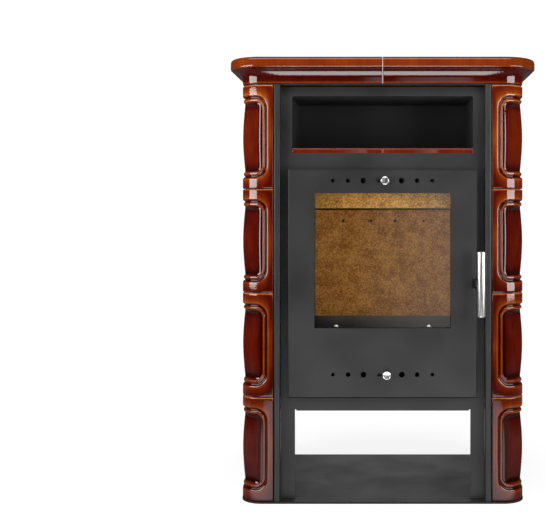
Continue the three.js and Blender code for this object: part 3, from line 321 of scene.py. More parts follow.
def rope_material():
    material, nodes, links, output = new_material("rope")
    shader = nodes.new("ShaderNodeBsdfPrincipled")
    vector = coordinates(nodes, links, (1, 1, 1))
    weave = nodes.new("ShaderNodeTexVoronoi")
    weave.inputs["Scale"].default_value = 520
    links.new(vector, weave.inputs["Vector"])
    stops = [(0.1, (0.075, 0.075, 0.078)), (0.6, (0.018, 0.018, 0.02))]
    links.new(ramp(nodes, links, weave.outputs["Distance"], stops), shader.inputs["Base Color"])
    links.new(bump(nodes, links, weave.outputs["Distance"], -0.0008, 0.8), shader.inputs["Normal"])
    shader.inputs["Roughness"].default_value = 0.9
    links.new(shader.outputs["BSDF"], output.inputs["Surface"])
    return material


def fire_glass_material():
    """Clear fire glass: it lets the lamps through and mirrors a little of the room."""
    material, nodes, links, output = new_material("fire_glass")
    clear = nodes.new("ShaderNodeBsdfTransparent")
    gloss = nodes.new("ShaderNodeBsdfGlossy")
    gloss.inputs["Roughness"].default_value = 0.03
    vector = coordinates(nodes, links, (1, 1, 1))
    film = noise(nodes, links, vector, 14, 3)
    links.new(
        ramp(nodes, links, film, [(0.3, (0.80, 0.785, 0.75)), (0.7, (0.86, 0.85, 0.82))]),
        clear.inputs["Color"],
    )
    fresnel = nodes.new("ShaderNodeFresnel")
    fresnel.inputs["IOR"].default_value = 1.5
    mix = nodes.new("ShaderNodeMixShader")
    links.new(fresnel.outputs["Fac"], mix.inputs["Fac"])
    links.new(clear.outputs["BSDF"], mix.inputs[1])
    links.new(gloss.outputs["BSDF"], mix.inputs[2])
    links.new(mix.outputs["Shader"], output.inputs["Surface"])
    return material


MATERIALS = {
    "glaze": glaze_material(),
    "painted_steel": painted_steel("painted_steel", (0.023, 0.023, 0.024), 0.37),
    "dark_steel": painted_steel("dark_steel", (0.015, 0.015, 0.015), 0.58),
    "cast_iron": cast_iron_material(),
    "stainless": stainless_material(),
    "vermiculite": vermiculite_material(),
    "rope": rope_material(),
    "fire_glass": fire_glass_material(),
}


def dress_frame():
    """Each CAD node gets the finish of its slot in the record, and folded sheets soft edges."""
    slots = {part["node"]: part["material_slot"] for part in frame["record"]["subparts"]}
    for name, node in frame["nodes"].items():
        node.data.materials.clear()
        node.data.materials.append(MATERIALS[slots[name]])
        if slots[name] in ("painted_steel", "dark_steel"):
            edge = node.modifiers.new("edge", "BEVEL")
            edge.width = 0.4 * MM
            edge.segments = 2
            edge.limit_method = "ANGLE"
            edge.angle_limit = math.radians(40)
            edge.harden_normals = False


# ------------------------------------------------------------------ mesh helpers
def add_piece(name, vertices, faces, body, nodes, slot, pool=None):
    """A mesh piece that rides on a body and stands for the given CAD nodes."""
    mesh = bpy.data.meshes.new(name)
    mesh.from_pydata([tuple(v) for v in vertices], [], faces)
    mesh.update()
    piece = bpy.data.objects.new(name, mesh)
    bpy.context.scene.collection.objects.link(piece)
    mesh.materials.append(MATERIALS[slot])
    mesh.polygons.foreach_set("use_smooth", [True] * len(mesh.polygons))
    if pool is not None:
        attribute = mesh.attributes.new("pool", "FLOAT", "POINT")
        attribute.data.foreach_set("value", np.asarray(pool, np.float32))
    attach(piece, body)
    if nodes:
        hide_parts(*nodes)
    return piece


def skin(loops, flip=False, first_cap=True, last_cap=True):
    """Faces between loops of equal length, with flat caps."""
    count = len(loops[0])
    faces = []
    for row in range(len(loops) - 1):
        for i in range(count):
            a = row * count + i
            b = row * count + (i + 1) % count
            faces.append((a, b, b + count, a + count))
    if first_cap:
        faces.append(tuple(reversed(range(count))))
    if last_cap:
        faces.append(tuple(range((len(loops) - 1) * count, len(loops) * count)))
    if flip:
        faces = [tuple(reversed(face)) for face in faces]
    return faces


def turned(name, profile, place, axis, body, nodes, slot, steps=72):
    """A turned piece: profile gives (radius, distance along the axis) from end to end."""
    turn = Vector((0, 0, 1)).rotation_difference(Vector(axis)).to_matrix()
    place = Vector(place)
    vertices = []
    loops = []
    for radius, along in profile[1:-1]:
        loop = []
        for i in range(steps):
            angle = 2 * math.pi * i / steps
            point = Vector((radius * math.cos(angle), radius * math.sin(angle), along))
            vertices.append(place + turn @ point)
            loop.append(len(vertices) - 1)
        loops.append(loop)
    ends = []
    for radius, along in (profile[0], profile[-1]):
        vertices.append(place + turn @ Vector((0, 0, along)))
        ends.append(len(vertices) - 1)
    faces = []
    for lower, upper in zip(loops, loops[1:]):
        for i in range(steps):
            j = (i + 1) % steps
            faces.append((lower[i], lower[j], upper[j], upper[i]))
    for i in range(steps):
        j = (i + 1) % steps
        faces.append((ends[0], loops[0][j], loops[0][i]))
        faces.append((ends[1], loops[-1][i], loops[-1][j]))
    piece = add_piece(name, vertices, faces, body, nodes, slot)
    crisp_edges(piece)
    return piece


def crisp_edges(piece, angle=35):
    """Smooth shading that breaks at edges steeper than the angle."""
    mesh = piece.data
    mesh.update()
    mesh.calc_loop_triangles()
    limit = math.cos(math.radians(angle))
    faces_of_edge = {}
    for polygon in mesh.polygons:
        for key in polygon.edge_keys:
            faces_of_edge.setdefault(key, []).append(polygon.normal.copy())
    for edge in mesh.edges:
        normals = faces_of_edge.get(tuple(sorted(edge.vertices)), [])
        if len(normals) == 2 and normals[0].dot(normals[1]) < limit:
            edge.use_edge_sharp = True


def arc_points(centre, radius, start, end, steps):
    """Points (a, b) on an arc, angles in degrees."""
    angles = np.radians(np.linspace(start, end, steps + 1))
    return [(centre[0] + radius * math.cos(t), centre[1] + radius * math.sin(t)) for t in angles]


# ------------------------------------------------------------------ relief tiles
def ease(value):
    value = np.clip(value, 0, 1)
    return value * value * (3 - 2 * value)


def wave(distance, knots):
    """Smooth curve through (distance, value) knots, level at each of them."""
    result = np.full_like(distance, knots[0][1], dtype=float)
    for (d0, v0), (d1, v1) in zip(knots, knots[1:]):
        share = ease((distance - d0) / (d1 - d0))
        result = np.where(distance > d0, v0 + (v1 - v0) * share, result)
    return result


# Glaze thickness, 0 thin and pale, 1 pooled and dark, by the distance from the moulding's edge: inwards,
# and further down outwards on to the tile's level field.
FRAME_POOL = [
    (0, 0.14),
    (1.6 * MM, 0.36),
    (GROOVE_INSET, 0.95),
    (BEAD_INSET - BEAD_FLAT, 0.42),
    (BEAD_INSET, 0.16),
    (BEAD_INSET + 1.8 * MM, 0.50),
    (RELIEF_WIDTH, 1.0),
    (19 * MM, 0.84),
    (28 * MM, 0.66),
]
# Shift of the glaze's darkness for each row, from the floor up: the top row lighter, the others darker.
GLAZE_TINT = {1: 0.05, 2: 0.05, 3: 0.06, 4: -0.04}
FIELD_POOL = [
    (0, 0.14),
    (2 * MM, 0.28),
    (6 * MM, 0.34),
    (13 * MM, 0.46),
    (26 * MM, 0.66),
]


def moulding():
    """Section of the moulding as (inset, depth): a soft lip, a groove, a bead and the panel's edge."""
    section = [(0.0, 0.0)]

    def drop(radius, slope):
        """Height that an arc takes up between level and the slope."""
        return radius * (1 - math.cos(math.radians(slope)))

    def arc(radius, start, end, way, steps):
        """An arc on which the slope runs from start to end, in degrees. Way is 1 up and -1 down."""
        inset, depth = section[-1]
        first = math.radians(start)
        for angle in np.radians(np.linspace(start, end, steps + 1)[1:]):
            across = radius * abs(math.sin(angle) - math.sin(first))
            along = radius * abs(math.cos(angle) - math.cos(first))
            section.append((inset + across, depth + way * along))

    def wall(end_depth, slope):
        inset, depth = section[-1]
        section.append((inset + (depth - end_depth) / math.tan(math.radians(slope)), end_depth))

    arc(LIP_RADIUS, 0, OUTER_SLOPE, -1, 6)
    wall(-GROOVE_DEPTH + drop(VALLEY_RADIUS, OUTER_SLOPE), OUTER_SLOPE)
    arc(VALLEY_RADIUS, OUTER_SLOPE, 0, -1, 6)
    arc(VALLEY_RADIUS, 0, RISING_SLOPE, 1, 5)
    wall(-BEAD_DROP - drop(CREST_RADIUS, RISING_SLOPE), -RISING_SLOPE)
    arc(CREST_RADIUS, RISING_SLOPE, 0, 1, 5)
    section.append((BEAD_INSET, -BEAD_DROP))
    arc(PANEL_EDGE_RADIUS, 0, INNER_SLOPE, -1, 6)
    wall(-PILLOW_DROP + drop(PANEL_EDGE_RADIUS, INNER_SLOPE), INNER_SLOPE)
    arc(PANEL_EDGE_RADIUS, INNER_SLOPE, 0, -1, 6)
    section.append((RELIEF_WIDTH, -PILLOW_DROP))
    return section


def relief_rings(length):
    """Rings of one tile: where each lies, its depth, its glaze and how far it cuts the corner."""
    rings = []

    def outline(depth, inset, pool):
        reach = PANEL_MARGIN + PANEL_RADIUS - inset
        rings.append(dict(left=inset * 0.3, half=TILE_HEIGHT / 2 - inset, radius_s=reach, radius_z=0.0,
                          depth=depth, pool=pool, flat=float(depth < -EDGE_ROUND), share=-1))

    outline(-TILE_THICKNESS, 0, 0.5)
    outline(-EDGE_ROUND - 0.6 * MM, 0, 0.5)
    rings[-1]["flat"] = 0.0
    edge_steps = 5
    for step in range(edge_steps + 1):
        angle = (math.pi / 2) * step / edge_steps
        depth = -EDGE_ROUND * (1 - math.sin(angle))
        outline(depth, EDGE_ROUND * (1 - math.cos(angle)), 0.30 - 0.26 * math.sin(2 * angle))

    def panel(inset, inset_z, depth, pool, flat, share=-1, radius=None):
        corner = max(PANEL_RADIUS - inset, LEAST_RADIUS) if radius is None else radius
        rings.append(dict(left=PANEL_MARGIN + inset, half=TILE_HEIGHT / 2 - PANEL_HEIGHT_MARGIN - inset_z,
                          radius_s=corner, radius_z=corner, depth=depth, pool=pool, flat=flat, share=share))

    # the level field between the tile's edge and the moulding
    face = rings[-1]
    brim = dict(left=PANEL_MARGIN, half=TILE_HEIGHT / 2 - PANEL_HEIGHT_MARGIN,
                radius_s=PANEL_RADIUS, radius_z=PANEL_RADIUS)
    for share in (0.12, 0.3, 0.5, 0.7, 0.85, 0.95):
        mixed = {key: face[key] + (brim[key] - face[key]) * share for key in brim}
        rings.append(dict(mixed, depth=0.0, pool=None, flat=0.0, share=-1))

    for inset, depth in moulding():
        pool = float(wave(np.array(inset), FRAME_POOL))
        flat = 0.5 * float(ease((inset - BEAD_INSET) / (RELIEF_WIDTH - BEAD_INSET)))
        panel(inset, inset * RELIEF_STRETCH, depth, pool, flat)

    pillow_steps = 18
    start_z = RELIEF_WIDTH * RELIEF_STRETCH
    reach_s = (length - CROWN_WIDTH) / 2 - PANEL_MARGIN
    reach_z = (TILE_HEIGHT - CROWN_HEIGHT) / 2 - PANEL_HEIGHT_MARGIN
    for step in range(1, pillow_steps + 1):
        share = (step / pillow_steps) ** 1.35
        inset = RELIEF_WIDTH + (reach_s - RELIEF_WIDTH) * share
        inset_z = start_z + (reach_z - start_z) * share
        pool = float(wave(np.array(inset), FRAME_POOL)) - 0.10 * float(ease(share))
        flat = 0.5 + 0.5 * float(ease(share / 0.09))
        radius = PANEL_RADIUS - RELIEF_WIDTH + (CROWN_HEIGHT / 2 - PANEL_RADIUS + RELIEF_WIDTH) * share
        panel(inset, inset_z, None, pool, flat, share, radius)
    return rings


def ring_places(ring, length, columns, rows):
    """s and z of a ring's points: a rounded rectangle, run left to right below and back above."""
    corner_steps = 9
    angle = np.linspace(0, math.pi / 2, corner_steps + 1)
    left = ring["left"]
    right = length - left
    lower_s = left + ring["radius_s"] * (1 - np.cos(angle))
    lower_z = -ring["half"] + ring["radius_z"] * (1 - np.sin(angle))
    inner = np.linspace(left + ring["radius_s"], right - ring["radius_s"], columns + 2)[1:-1]
    chain_s = np.concatenate([lower_s, inner, (left + right - lower_s)[::-1]])
    chain_z = np.concatenate([lower_z, np.full(columns, -ring["half"]), lower_z[::-1]])
    side_z = np.linspace(lower_z[0], -lower_z[0], rows + 2)[1:-1]
    s = np.concatenate([chain_s, np.full(rows, right), chain_s[::-1], np.full(rows, left)])
    z = np.concatenate([chain_z, side_z, -chain_z[::-1], side_z[::-1]])
    return s, z, len(chain_s)


def pillow_depth(s, z, share, length):
    """Soft pillow of the panel: rises quickly across the tile, gently along its height."""
    across = np.abs(s - length / 2) / (length / 2 - PANEL_MARGIN - RELIEF_WIDTH)
    half = TILE_HEIGHT / 2 - PANEL_HEIGHT_MARGIN - RELIEF_WIDTH * RELIEF_STRETCH
    along = np.abs(z) / half
    swell = (1 - np.clip(across, 0, 1) ** 5) * np.cos(np.clip(along, 0, 1) * math.pi / 2) ** 1.1
    return -PILLOW_DROP + (PILLOW_DROP - CROWN_DROP) * swell * ease(share / 0.16)


def corner_surface(s, depth, flat):
    """x and y of a corner tile's points. Where flat is 1 the face cuts straight across the corner."""
    arc_start = BODY_HALF - CORNER_RADIUS - corner_low.x
    angle = np.clip((s - arc_start) / CORNER_RADIUS, 0, math.pi / 2)
    quarter = math.pi / 4
    chord = CORNER_RADIUS * (1 - math.cos(quarter - CHORD_START) / np.cos(quarter - angle))
    level = CORNER_RADIUS * (1 - math.cos(quarter - CHORD_START) / math.cos(quarter))
    rest = (level + math.sqrt(level ** 2 + CHORD_SOFTNESS ** 2)) / 2
    recess = flat * ((chord + np.sqrt(chord ** 2 + CHORD_SOFTNESS ** 2)) / 2 - rest)
    reach = CORNER_RADIUS + depth - recess
    before = np.minimum(s - arc_start, 0)
    after = np.maximum(s - arc_start - CORNER_RADIUS * math.pi / 2, 0)
    x = BODY_HALF - CORNER_RADIUS + before + reach * np.sin(angle)
    y = TILE_FRONT + CORNER_RADIUS + after - reach * np.cos(angle)
    return x, y


def side_surface(s, depth, flat):
    return BODY_HALF + depth, side_low.y + s


def relief_tile(node, length, surface, columns):
    """One glazed tile as a dense skin of rings, closed by a grid over the panel's crown."""
    rows = 12
    low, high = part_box(node)
    middle = (low.z + high.z) / 2
    mirror = -1 if "_left_" in node else 1
    row_number = int(node[-1])
    rings = relief_rings(length)
    vertices = []
    pools = []

    def emit(s, z, depth, pool, flat):
        x, y = surface(s, depth, flat)
        x = np.broadcast_to(x, s.shape)
        y = np.broadcast_to(y, s.shape)
        vertices.extend(zip(mirror * x, y, middle + z))
        pools.extend(np.broadcast_to(pool, s.shape))

    brim = next(ring for ring in rings if ring["left"] == PANEL_MARGIN)
    brim_s, brim_z, chain = ring_places(brim, length, columns, rows)
    tint = GLAZE_TINT[row_number]
    for ring in rings:
        s, z, chain = ring_places(ring, length, columns, rows)
        if ring["depth"] is None:
            depth = pillow_depth(s, z, ring["share"], length)
        else:
            depth = np.full_like(s, ring["depth"])
        pool = ring["pool"]
        if pool is None:
            pool = wave(np.hypot(s - brim_s, z - brim_z), FIELD_POOL)
        elif ring["radius_z"] == 0:
            # Thin pale glaze on the top edge alone: partly the glaze breaking thin there, partly a painted
            # highlight where light from above catches the edge. The bottom and side edges keep a middling
            # glaze.
            painted_highlight_edge = z > ring["half"] - 0.1 * MM
            pool = np.where(painted_highlight_edge, pool, 0.5)
        # Glaze darker towards the bottom of each tile.
        darker_below = 0.10 * ease((-z - 55 * MM) / (45 * MM))
        emit(s, z, depth, pool + darker_below + tint, ring["flat"])
    count = len(s)
    faces = skin([range(count)] * len(rings), last_cap=False, first_cap=False)

    def grid(ring_start, s, z, depth_of, pool, flat, flip):
        """Fills a ring with rows of quads."""
        lower_s, lower_z = s[:chain], z[:chain]
        upper_z = z[chain + rows:2 * chain + rows][::-1]
        lines = [list(range(ring_start, ring_start + chain))]
        for row in range(rows):
            share = (row + 1) / (rows + 1)
            inner_s = lower_s[1:-1]
            inner_z = (lower_z + (upper_z - lower_z) * share)[1:-1]
            first = len(vertices)
            emit(inner_s, inner_z, depth_of(inner_s, inner_z), pool, flat)
            right = ring_start + chain + row
            left = ring_start + 2 * chain + 2 * rows - 1 - row
            lines.append([left, *range(first, len(vertices)), right])
        lines.append(list(range(ring_start + chain + rows, ring_start + 2 * chain + rows))[::-1])
        for below, above in zip(lines, lines[1:]):
            for i in range(chain - 1):
                quad = (below[i], below[i + 1], above[i + 1], above[i])
                faces.append(tuple(reversed(quad)) if flip else quad)

    last = rings[-1]
    s, z, chain = ring_places(last, length, columns, rows)
    grid((len(rings) - 1) * count, s, z, lambda a, b: pillow_depth(a, b, 1.0, length),
         last["pool"] + tint, last["flat"], False)
    first_ring = rings[0]
    s, z, chain = ring_places(first_ring, length, columns, rows)
    grid(0, s, z, lambda a, b: np.full_like(a, first_ring["depth"]), first_ring["pool"],
         first_ring["flat"], True)
    if mirror < 0:
        faces = [tuple(reversed(face)) for face in faces]
    return add_piece(node.replace("tile", "relief"), vertices, faces, "stove_body", [node], "glaze", pools)


def relief_tiles():
    corner_length = (BODY_HALF - CORNER_RADIUS - corner_low.x) + CORNER_RADIUS * math.pi / 2
    corner_length += corner_high.y - (TILE_FRONT + CORNER_RADIUS)
    for side in ("left", "right"):
        for row in (1, 2, 3, 4):
            relief_tile(f"corner_tile_{side}_{row}", corner_length, corner_surface, 52)
            relief_tile(f"side_tile_{side}_{row}", SIDE_LENGTH, side_surface, 16)


# ------------------------------------------------------------------ cornice
def cornice_profile():
    """(height, reach, glaze) from the foot to the top."""
    height = cornice_high.z - cornice_low.z
    overhang = cornice_high.x - BODY_HALF
    cove_reach = overhang - NOSING_LOWER_RADIUS - QUIRK
    cove_height = height - NOSING_THICKNESS - COVE_FOOT
    profile = [(0, -COVE_TUCK, 0.6), (0.7 * MM, -COVE_TUCK * 0.45, 0.42), (1.6 * MM, -COVE_TUCK * 0.3, 0.30),
               (COVE_FOOT - 1 * MM, -0.1 * MM, 0.45), (COVE_FOOT, 0, 0.62)]
    steps = 22
    for i in range(1, steps + 1):
        angle = (math.pi / 2) * i / steps
        profile.append((COVE_FOOT + cove_height * math.sin(angle),
                        cove_reach * (1 - math.cos(angle)), 0.74))
    profile.append((height - NOSING_THICKNESS, cove_reach + QUIRK * 0.5, 0.95))
    low = height - NOSING_THICKNESS
    for radius, middle, start in ((NOSING_LOWER_RADIUS, low + NOSING_LOWER_RADIUS, -90),
                                  (NOSING_TOP_RADIUS, height - NOSING_TOP_RADIUS, 0)):
        for a, b in arc_points((overhang - radius, middle), radius, start, start + 90, 10):
            profile.append((b, a, 0.34))
    return profile


def cornice_half(side):
    mirror = 1 if side == "right" else -1
    seam = cornice_low.x
    loops = []
    pools = []
    centre_x = BODY_HALF - CORNER_RADIUS
    centre_y = TILE_FRONT + CORNER_RADIUS
    ends = [(0.0, 1.0), (0.12, 0.55), (0.35, 0.22), (0.65, 0.06), (1.0, 0.0)]
    top = cornice_high.z - cornice_low.z
    for height, reach, pool in cornice_profile():
        loop = []
        sunk = min((top - height) / SEAM_ROUND, 1.0)
        for share, drop in ends:
            loop.append((seam + SEAM_ROUND * share, TILE_FRONT - reach + SEAM_ROUND * drop * sunk))
            pools.append(pool - 0.45 * drop)
        front_columns = 6
        for i in range(1, front_columns):
            run = (centre_x - seam - SEAM_ROUND) * i / front_columns
            loop.append((seam + SEAM_ROUND + run, TILE_FRONT - reach))
            pools.append(pool)
        for a, b in arc_points((centre_x, centre_y), CORNER_RADIUS + reach, -90, 0, 24):
            loop.append((a, b))
            pools.append(pool)
        side_columns = 5
        for i in range(1, side_columns + 1):
            loop.append((BODY_HALF + reach, centre_y + (REAR - centre_y) * i / side_columns))
            pools.append(pool)
        loop.append((seam, REAR))
        pools.append(pool)
        loops.append([(mirror * x, y, cornice_low.z + height) for x, y in loop])
    faces = skin(loops, flip=mirror < 0)
    vertices = [point for loop in loops for point in loop]
    piece = add_piece(f"cornice_glazed_{side}", vertices, faces, "stove_body",
                      [f"cornice_{side}"], "glaze", pools)
    crisp_edges(piece, 40)
    return piece


def niche_tile(side):
    """Slab with a rounded front edge on the niche's floor."""
    low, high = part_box(f"niche_tile_{side}")
    radius = 4 * MM
    profile = [(high.y, low.z, 0.5), (low.y, low.z, 0.5), (low.y, high.z - radius, 0.46)]
    for a, b in arc_points((low.y + radius, high.z - radius), radius, 180, 90, 8):
        profile.append((a, b, 0.46))
    profile.append((high.y, high.z, 0.6))
    end = 1.2 * MM
    vertices = []
    pools = []
    loops = []
    for x, inset, thin in ((low.x, end, 0.3), (low.x + 0.35 * end, 0.2 * end, 0.15), (low.x + end, 0, 0),
                           (high.x - end, 0, 0), (high.x - 0.35 * end, 0.2 * end, 0.15), (high.x, end, 0.3)):
        loop = []
        for y, z, pool in profile:
            loop.append((x, max(y, low.y + inset), min(z, high.z - inset)))
            pools.append(pool - thin)
        loops.append(loop)
        vertices.extend(loop)
    piece = add_piece(f"niche_slab_{side}", vertices, skin(loops), "stove_body",
                      [f"niche_tile_{side}"], "glaze", pools)
    crisp_edges(piece, 50)
    return piece


# ------------------------------------------------------------------ turned and round pieces
def air_knob(row, body):
    """Turned knob: dished face, rounded rim, waist and stem."""
    low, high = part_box(f"air_knob_{row}")
    radius = (high.x - low.x) / 2
    middle = ((low.x + high.x) / 2, 0, (low.z + high.z) / 2)
    front = low.y
    dish = 0.7 * MM
    rim = 1.1 * MM
    waist = radius - 2.5 * MM
    stem = 3 * MM
    profile = [(0, front + dish), (radius - 2.6 * MM, front + dish), (radius - 2.1 * MM, front + 0.5 * MM)]
    profile += arc_points((radius - rim, front + rim), rim, -150, 0, 8)
    profile += [(radius, front + 9 * MM), (radius - 0.4 * MM, front + 9.6 * MM)]
    profile += [(waist, front + 10.5 * MM), (waist, front + 13 * MM)]
    profile += [(stem, front + 13 * MM), (stem, high.y), (0, high.y)]
    turned(f"knob_{row}", profile, middle, (0, 1, 0), body, [f"air_knob_{row}"], "stainless")


def grip():
    """Turned bar with rounded ends and a groove near its top."""
    low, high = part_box("handle_grip")
    radius = (high.x - low.x) / 2
    length = high.z - low.z
    groove = length - 17 * MM
    end = 1.5 * MM
    profile = [(0, 0)]
    profile += arc_points((radius - end, end), end, -90, 0, 6)
    profile += [(radius, groove - 1.6 * MM), (radius - 0.3 * MM, groove - 1.2 * MM)]
    profile += [(radius - 1 * MM, groove - 0.7 * MM), (radius - 1 * MM, groove + 0.7 * MM)]
    profile += [(radius - 0.3 * MM, groove + 1.2 * MM), (radius, groove + 1.6 * MM)]
    profile += arc_points((radius - end, length - end), end, 0, 90, 6)
    profile += [(0, length)]
    middle = ((low.x + high.x) / 2, (low.y + high.y) / 2, low.z)
    turned("grip_bar", profile, middle, (0, 0, 1), "latch", ["handle_grip"], "stainless")


def guard_screw(side):
    low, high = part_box(f"guard_screw_{side}")
    radius = (high.x - low.x) / 2
    shank = 3 * MM
    head_base = high.z - radius
    profile = [(0, low.z), (shank, low.z), (shank, head_base), (radius - 0.3 * MM, head_base)]
    profile += arc_points((0, head_base + 0.3 * MM), radius, 0, 84, 12)
    profile = [(a, min(b, high.z)) for a, b in profile] + [(0, high.z)]
    middle = ((low.x + high.x) / 2, (low.y + high.y) / 2, 0)
    turned(f"dome_screw_{side}", profile, middle, (0, 0, 1), "stove_body",
           [f"guard_screw_{side}"], "stainless", 40)


def flue_collar():
    """Welded tube with its flange, as a closed section swept round."""
    low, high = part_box("flue_collar")
    outer = (high.x - low.x) / 2
    tube = outer - 7 * MM
    wall = 3 * MM
    middle = Vector(((low.x + high.x) / 2, 0, (low.z + high.z) / 2))
    section = [(tube - wall, low.y), (outer, low.y), (outer, low.y + wall), (tube, low.y + wall),
               (tube, high.y - 0.5 * MM), (tube - 0.5 * MM, high.y), (tube - wall, high.y)]
    steps = 96
    vertices = []
    for i in range(steps):
        angle = 2 * math.pi * i / steps
        vertices += [(middle.x + r * math.cos(angle), y, middle.z + r * math.sin(angle)) for r, y in section]
    count = len(section)
    faces = []
    for i in range(steps):
        for k in range(count):
            a, b = i * count + k, i * count + (k + 1) % count
            c, d = ((i + 1) % steps) * count + (k + 1) % count, ((i + 1) % steps) * count + k
            faces.append((a, d, c, b))
    piece = add_piece("flue_ring", vertices, faces, "stove_body", ["flue_collar"], "painted_steel")
    crisp_edges(piece)


def rope_seal():
    """Round rope laid in the groove of the door's inner frame."""
    low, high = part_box("door_seal")
    radius = min(7.4 * MM, high.y - low.y) / 2
    inset = radius
    corner = 7 * MM
    path = []
    for cx, cz, start in ((high.x - inset - corner, high.z - inset - corner, 0),
                          (low.x + inset + corner, high.z - inset - corner, 90),
                          (low.x + inset + corner, low.z + inset + corner, 180),
                          (high.x - inset - corner, low.z + inset + corner, 270)):
        path += [(a, b, t) for (a, b), t in zip(arc_points((cx, cz), corner, start, start + 90, 8),
                                                np.radians(np.linspace(start, start + 90, 9)))]
    middle_y = high.y - radius
    sides = 16
    vertices = []
    for x, z, turn in path:
        for k in range(sides):
            angle = 2 * math.pi * k / sides
            out = radius * math.cos(angle)
            back = middle_y + radius * math.sin(angle)
            vertices.append((x + out * math.cos(turn), back, z + out * math.sin(turn)))
    faces = []
    for i in range(len(path)):
        j = (i + 1) % len(path)
        for k in range(sides):
            m = (k + 1) % sides
            faces.append((i * sides + k, i * sides + m, j * sides + m, j * sides + k))
    add_piece("rope_ring", vertices, faces, "door", ["door_seal"], "rope")


# ------------------------------------------------------------------ floor, backdrop and lamps
def plane(name, corners, material):
    mesh = bpy.data.meshes.new(name)
    mesh.from_pydata(corners, [], [(0, 1, 2, 3)])
    surface = bpy.data.objects.new(name, mesh)
    bpy.context.scene.collection.objects.link(surface)
    mesh.materials.append(material)
    return surface


def product(nodes, links, *factors):
    """All factors multiplied."""
    result = factors[0]
    for factor in factors[1:]:
        result = combine(nodes, links, "MULTIPLY", result, factor)
    return result


def total(nodes, links, first, second):
    return combine(nodes, links, "ADD", first, second)


def floor_glow(nodes, links):
    """The floor's own white. Glossy rays see other strengths than the camera does.

    They see a painted reflection: a bright patch before the stove, a dim strip close to it, a pale ground
    behind it and nothing at its sides, glowing though no lamp lights them. The patch is brighter where it is
    seen steeply.
    """
    x, y, _ = room_place(nodes, links)
    aside = combine(nodes, links, "ABSOLUTE", x, 0)
    squares = [combine(nodes, links, "POWER", value, 2) for value in (x, y)]
    radius = combine(nodes, links, "SQRT", total(nodes, links, *squares), 0)
    # The camera sees the floor's glow rise from 0.90 near the stove to 1.02 further off: light painted on
    # the far floor, which the lamps reach less.
    painted_far_white = spread(nodes, links, radius, 0.90, 1.02, 0.40, 0.85)

    steepness = nodes.new("ShaderNodeLayerWeight").outputs["Facing"]
    lit = spread(nodes, links, steepness, PATCH_STEEP, PATCH_GRAZING, 0.42, 0.68)
    dim = spread(nodes, links, steepness, STRIP_STEEP, PATCH_GRAZING, 0.42, 0.68)
    forward = spread(nodes, links, y, 1.0, 0.0, -0.50, -0.45)
    nearer = combine(nodes, links, "SUBTRACT", 1.0, forward)
    patch = total(nodes, links, product(nodes, links, lit, forward), product(nodes, links, dim, nearer))
    within = product(
        nodes, links,
        spread(nodes, links, aside, 1.0, 0.0, 0.40, 0.43),
        spread(nodes, links, y, 0.0, 1.0, -1.55, -1.45),
        spread(nodes, links, y, 1.0, 0.0, -0.26, -0.22),
    )
    behind = product(
        nodes, links,
        spread(nodes, links, y, 0.0, GROUND_BEHIND, 0.2, 0.3),
        spread(nodes, links, aside, 1.0, SIDE_SHARE, 0.5, 0.65),
    )
    # Glossy rays see painted reflections here: the floor glows with them though no lamp lights it.
    painted_reflection = combine(nodes, links, "MAXIMUM", product(nodes, links, patch, within), behind)
    return seen_and_mirrored(nodes, links, painted_far_white, painted_reflection)


def seen_and_mirrored(nodes, links, seen_strength, mirrored_strength):
    """One strength for camera and transmission rays, and another for glossy ones."""
    rays = nodes.new("ShaderNodeLightPath").outputs
    seen = combine(nodes, links, "MAXIMUM", rays["Is Camera Ray"], rays["Is Transmission Ray"])
    return total(nodes, links, product(nodes, links, seen, seen_strength),
                 product(nodes, links, rays["Is Glossy Ray"], mirrored_strength))


def floor_and_backdrop():
    material, nodes, links, output = new_material("studio_floor")
    shader = nodes.new("ShaderNodeBsdfPrincipled")
    vector = coordinates(nodes, links, (1, 1, 1))
    fleck = noise(nodes, links, vector, 60, 4)
    greys = [(0.3, (0.135, 0.135, 0.135)), (0.7, (0.165, 0.165, 0.165))]
    links.new(ramp(nodes, links, fleck, greys), shader.inputs["Base Color"])
    shader.inputs["Roughness"].default_value = 0.8
    shader.inputs["Specular IOR Level"].default_value = 0.1
    links.new(floor_glow(nodes, links), shader.inputs["Emission Strength"])
    shader.inputs["Emission Color"].default_value = (1, 1, 1, 1)
    links.new(shader.outputs["BSDF"], output.inputs["Surface"])
    half = FLOOR_HALF
    plane("studio_floor", [(-half, -half, 0), (half, -half, 0), (half, half, 0), (-half, half, 0)], material)

    material, nodes, links, output = new_material("backdrop")
    x, _, _ = room_place(nodes, links)
    aside = combine(nodes, links, "ABSOLUTE", x, 0)
    # Glossy rays see the backdrop bright in the middle and nearly dark at its sides: a painted reflection.
    # The camera sees it evenly white.
    painted_reflection = spread(nodes, links, aside, BACKDROP_MIRRORED, SIDE_SHARE, 0.52, 0.66)
    glow(nodes, links, output, seen_and_mirrored(nodes, links, BACKDROP_WHITE, painted_reflection), (1, 1, 1))
    wide, back, top = BACKDROP_HALF, BACKDROP_PLACE, BACKDROP_TOP
    plane("backdrop", [(-wide, back, 0), (wide, back, 0), (wide, back, top), (-wide, back, top)], material)


def room_card():
    """Pale card before the stove, seen by glossy rays alone: it glows though it is no lamp and paints the
    pale reflection at the window's right.
    """
    material, nodes, links, output = new_material("room_card")
    x, _, _ = room_place(nodes, links)
    across = spread(nodes, links, x, 0.0, 1.0, CARD_LEFT, 0.30)
    rays = nodes.new("ShaderNodeLightPath").outputs
    glow(nodes, links, output, product(nodes, links, rays["Is Glossy Ray"], across), (1.0, 0.99, 0.97))
    left, right, low, high = CARD_LEFT, CARD_RIGHT, CARD_BOTTOM, CARD_TOP
    y = CARD_PLACE
    plane("room_card", [(left, y, low), (left, y, high), (right, y, high), (right, y, low)], material)


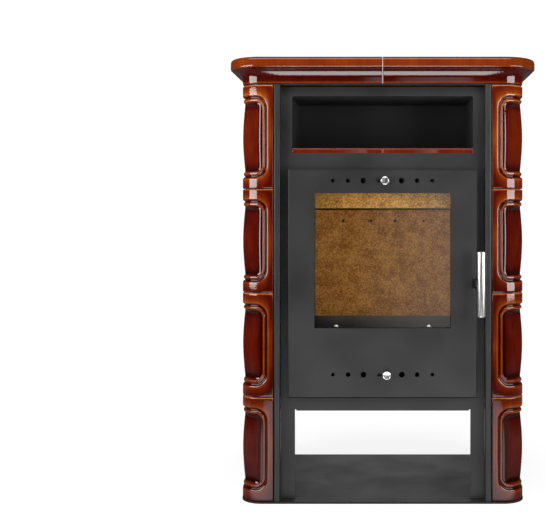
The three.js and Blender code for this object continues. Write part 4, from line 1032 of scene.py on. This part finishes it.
def lamp(name, centre, target, width, height, radiance):
    """Rectangular soft box that faces its target, with an even radiance."""
    light = bpy.data.lights.new(name, "AREA")
    light.shape = "RECTANGLE"
    light.size = width
    light.size_y = height
    light.energy = radiance * math.pi * width * height
    box = bpy.data.objects.new(name, light)
    bpy.context.scene.collection.objects.link(box)
    facing = (Vector(target) - Vector(centre)).normalized()
    across = facing.cross(Vector((0, 0, 1))).normalized()
    top = across.cross(facing)
    turn = Matrix((across, top, -facing)).transposed()
    box.matrix_world = Matrix.Translation(centre) @ turn.to_4x4()
    box.visible_camera = False
    return box


def studio():
    world = bpy.data.worlds.new("studio")
    bpy.context.scene.world = world
    world.use_nodes = True
    background = world.node_tree.nodes["Background"]
    background.inputs["Color"].default_value = (0.9, 0.95, 1.0, 1)
    background.inputs["Strength"].default_value = 0.03
    lamp("left_softbox", (-1.295, -0.871, 0.76), (-0.30, -0.20, 0.76), 1.02, 0.71, 9.5)
    lamp("right_softbox", (1.19, -1.00, 0.705), (0.30, -0.20, 0.705), 0.97, 0.68, 9.0)
    lamp("top_softbox", (-0.15, -1.0, 1.78), (-0.05, -0.2, 0.95), 2.0, 0.62, 4.2)
    lamp("window_light", (0, -0.20, 0.555), (0, 0.1, 0.555), 0.28, 0.27, 2.9)


def camera():
    lens = bpy.data.cameras.new("camera")
    lens.sensor_width = 36
    lens.lens = 63.4
    lens.shift_x = -0.2021
    lens.shift_y = -0.076
    eye = bpy.data.objects.new("camera", lens)
    bpy.context.scene.collection.objects.link(eye)
    eye.location = (0, -2.418, 0.6615)
    eye.rotation_euler = (math.radians(90), 0, 0)
    bpy.context.scene.camera = eye


# ------------------------------------------------------------------ the whole scene
dress_frame()
relief_tiles()
for half in ("left", "right"):
    cornice_half(half)
    niche_tile(half)
    guard_screw(half)
air_knob("upper", "upper_air")
air_knob("lower", "lower_air")
grip()
flue_collar()
rope_seal()
floor_and_backdrop()
room_card()
studio()
camera()
bpy.context.scene.view_settings.view_transform = "Standard"
